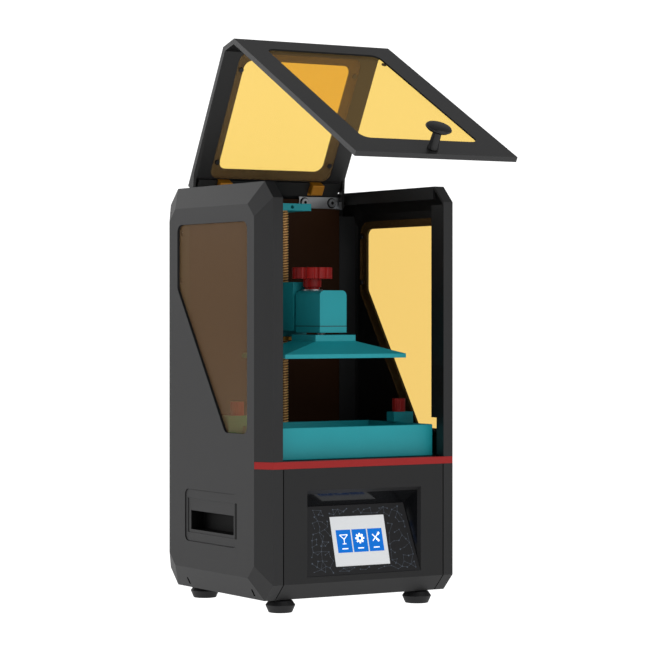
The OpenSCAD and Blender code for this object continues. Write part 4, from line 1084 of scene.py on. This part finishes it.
class PRINTER_OT_stage(PrinterOperator, bpy.types.Operator):
    """Sets the camera, the floor, the lights and the white surroundings"""

    bl_idname = "printer.stage"
    bl_label = "Stage"

    def execute(self, context):
        st = context.scene.printer_stage
        target = Vector(st.target)
        flat = math.cos(st.elevation)
        back = Vector((math.sin(st.azimuth) * flat, -math.cos(st.azimuth) * flat, math.sin(st.elevation)))
        self.camera(context, target, back, st)
        self.floor()
        for name, (place, width, height) in LIGHTS.items():
            area_light(name, place, target, width, height, getattr(st, name))
        self.world(context, st)
        return {"FINISHED"}

    def camera(self, context, target, back, st):
        """The camera on its line of sight, with everything in focus."""
        data = bpy.data.cameras.new("photo_camera")
        data.lens = st.lens
        data.sensor_width = SENSOR
        data.dof.use_dof = False
        camera = bpy.data.objects.new("photo_camera", data)
        camera.location = target + back * st.distance
        camera.rotation_euler = back.to_track_quat("Z", "Y").to_euler()
        context.scene.collection.objects.link(camera)
        context.scene.camera = camera

    def floor(self):
        """A wide round floor under the feet."""
        bm = bmesh.new()
        bmesh.ops.create_circle(bm, cap_ends=True, segments=FLOOR_SIDES, radius=FLOOR_RADIUS)
        finish_mesh(bm, "floor", "floor")

    def world(self, context, st):
        """White surroundings, brighter to the camera than the light they give, and plain colours."""
        world = bpy.data.worlds.new("white_studio")
        world.use_nodes = True
        tree = world.node_tree
        tree.nodes.clear()
        light = add_node(tree, "ShaderNodeBackground", Color=(1, 1, 1, 1), Strength=st.world)
        bright = add_node(tree, "ShaderNodeBackground", Color=(1, 1, 1, 1), Strength=st.white)
        path = add_node(tree, "ShaderNodeLightPath")
        mix = add_node(
            tree,
            "ShaderNodeMixShader",
            {
                0: path.outputs["Is Camera Ray"],
                1: light.outputs["Background"],
                2: bright.outputs["Background"],
            },
        )
        add_node(tree, "ShaderNodeOutputWorld", {"Surface": mix.outputs["Shader"]})
        context.scene.world = world
        context.scene.view_settings.view_transform = "Standard"


OPERATORS = (
    PRINTER_OT_casing,
    PRINTER_OT_trim,
    PRINTER_OT_panes,
    PRINTER_OT_handles,
    PRINTER_OT_feet,
    PRINTER_OT_fasteners,
    PRINTER_OT_screen,
    PRINTER_OT_lift,
    PRINTER_OT_lead_screw,
    PRINTER_OT_platform,
    PRINTER_OT_vat,
    PRINTER_OT_lid,
    PRINTER_OT_hinges,
    PRINTER_OT_electrics,
    PRINTER_OT_stage,
)


class PRINTER_PT_panel(bpy.types.Panel):
    """Lists the printer's settings and operators"""

    bl_idname = "PRINTER_PT_panel"
    bl_label = "Resin printer"
    bl_space_type = "VIEW_3D"
    bl_region_type = "UI"
    bl_category = "Printer"

    def draw(self, context):
        for group in (getattr(context.scene, key) for key in GROUPS):
            for key in group.bl_rna.properties.keys():
                if key not in ("rna_type", "name"):
                    self.layout.prop(group, key)
        for operator in OPERATORS:
            self.layout.operator(operator.bl_idname)


GROUPS = {"printer_colours": PrinterColours, "printer_sizes": PrinterSizes, "printer_stage": PrinterStage}


def register():
    """Adds the settings, the operators and the panel to Blender."""
    for cls in (*GROUPS.values(), *OPERATORS, PRINTER_PT_panel):
        bpy.utils.register_class(cls)
    for key, group in GROUPS.items():
        setattr(bpy.types.Scene, key, PointerProperty(type=group))


def unregister():
    """Takes them out again."""
    for key in GROUPS:
        delattr(bpy.types.Scene, key)
    for cls in (PRINTER_PT_panel, *reversed(OPERATORS), *reversed(GROUPS.values())):
        bpy.utils.unregister_class(cls)


def main():
    """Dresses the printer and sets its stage."""
    register()
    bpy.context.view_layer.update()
    for operator in OPERATORS:
        group, name = operator.bl_idname.split(".")
        getattr(getattr(bpy.ops, group), name)()


if __name__ == "__main__":
    main()
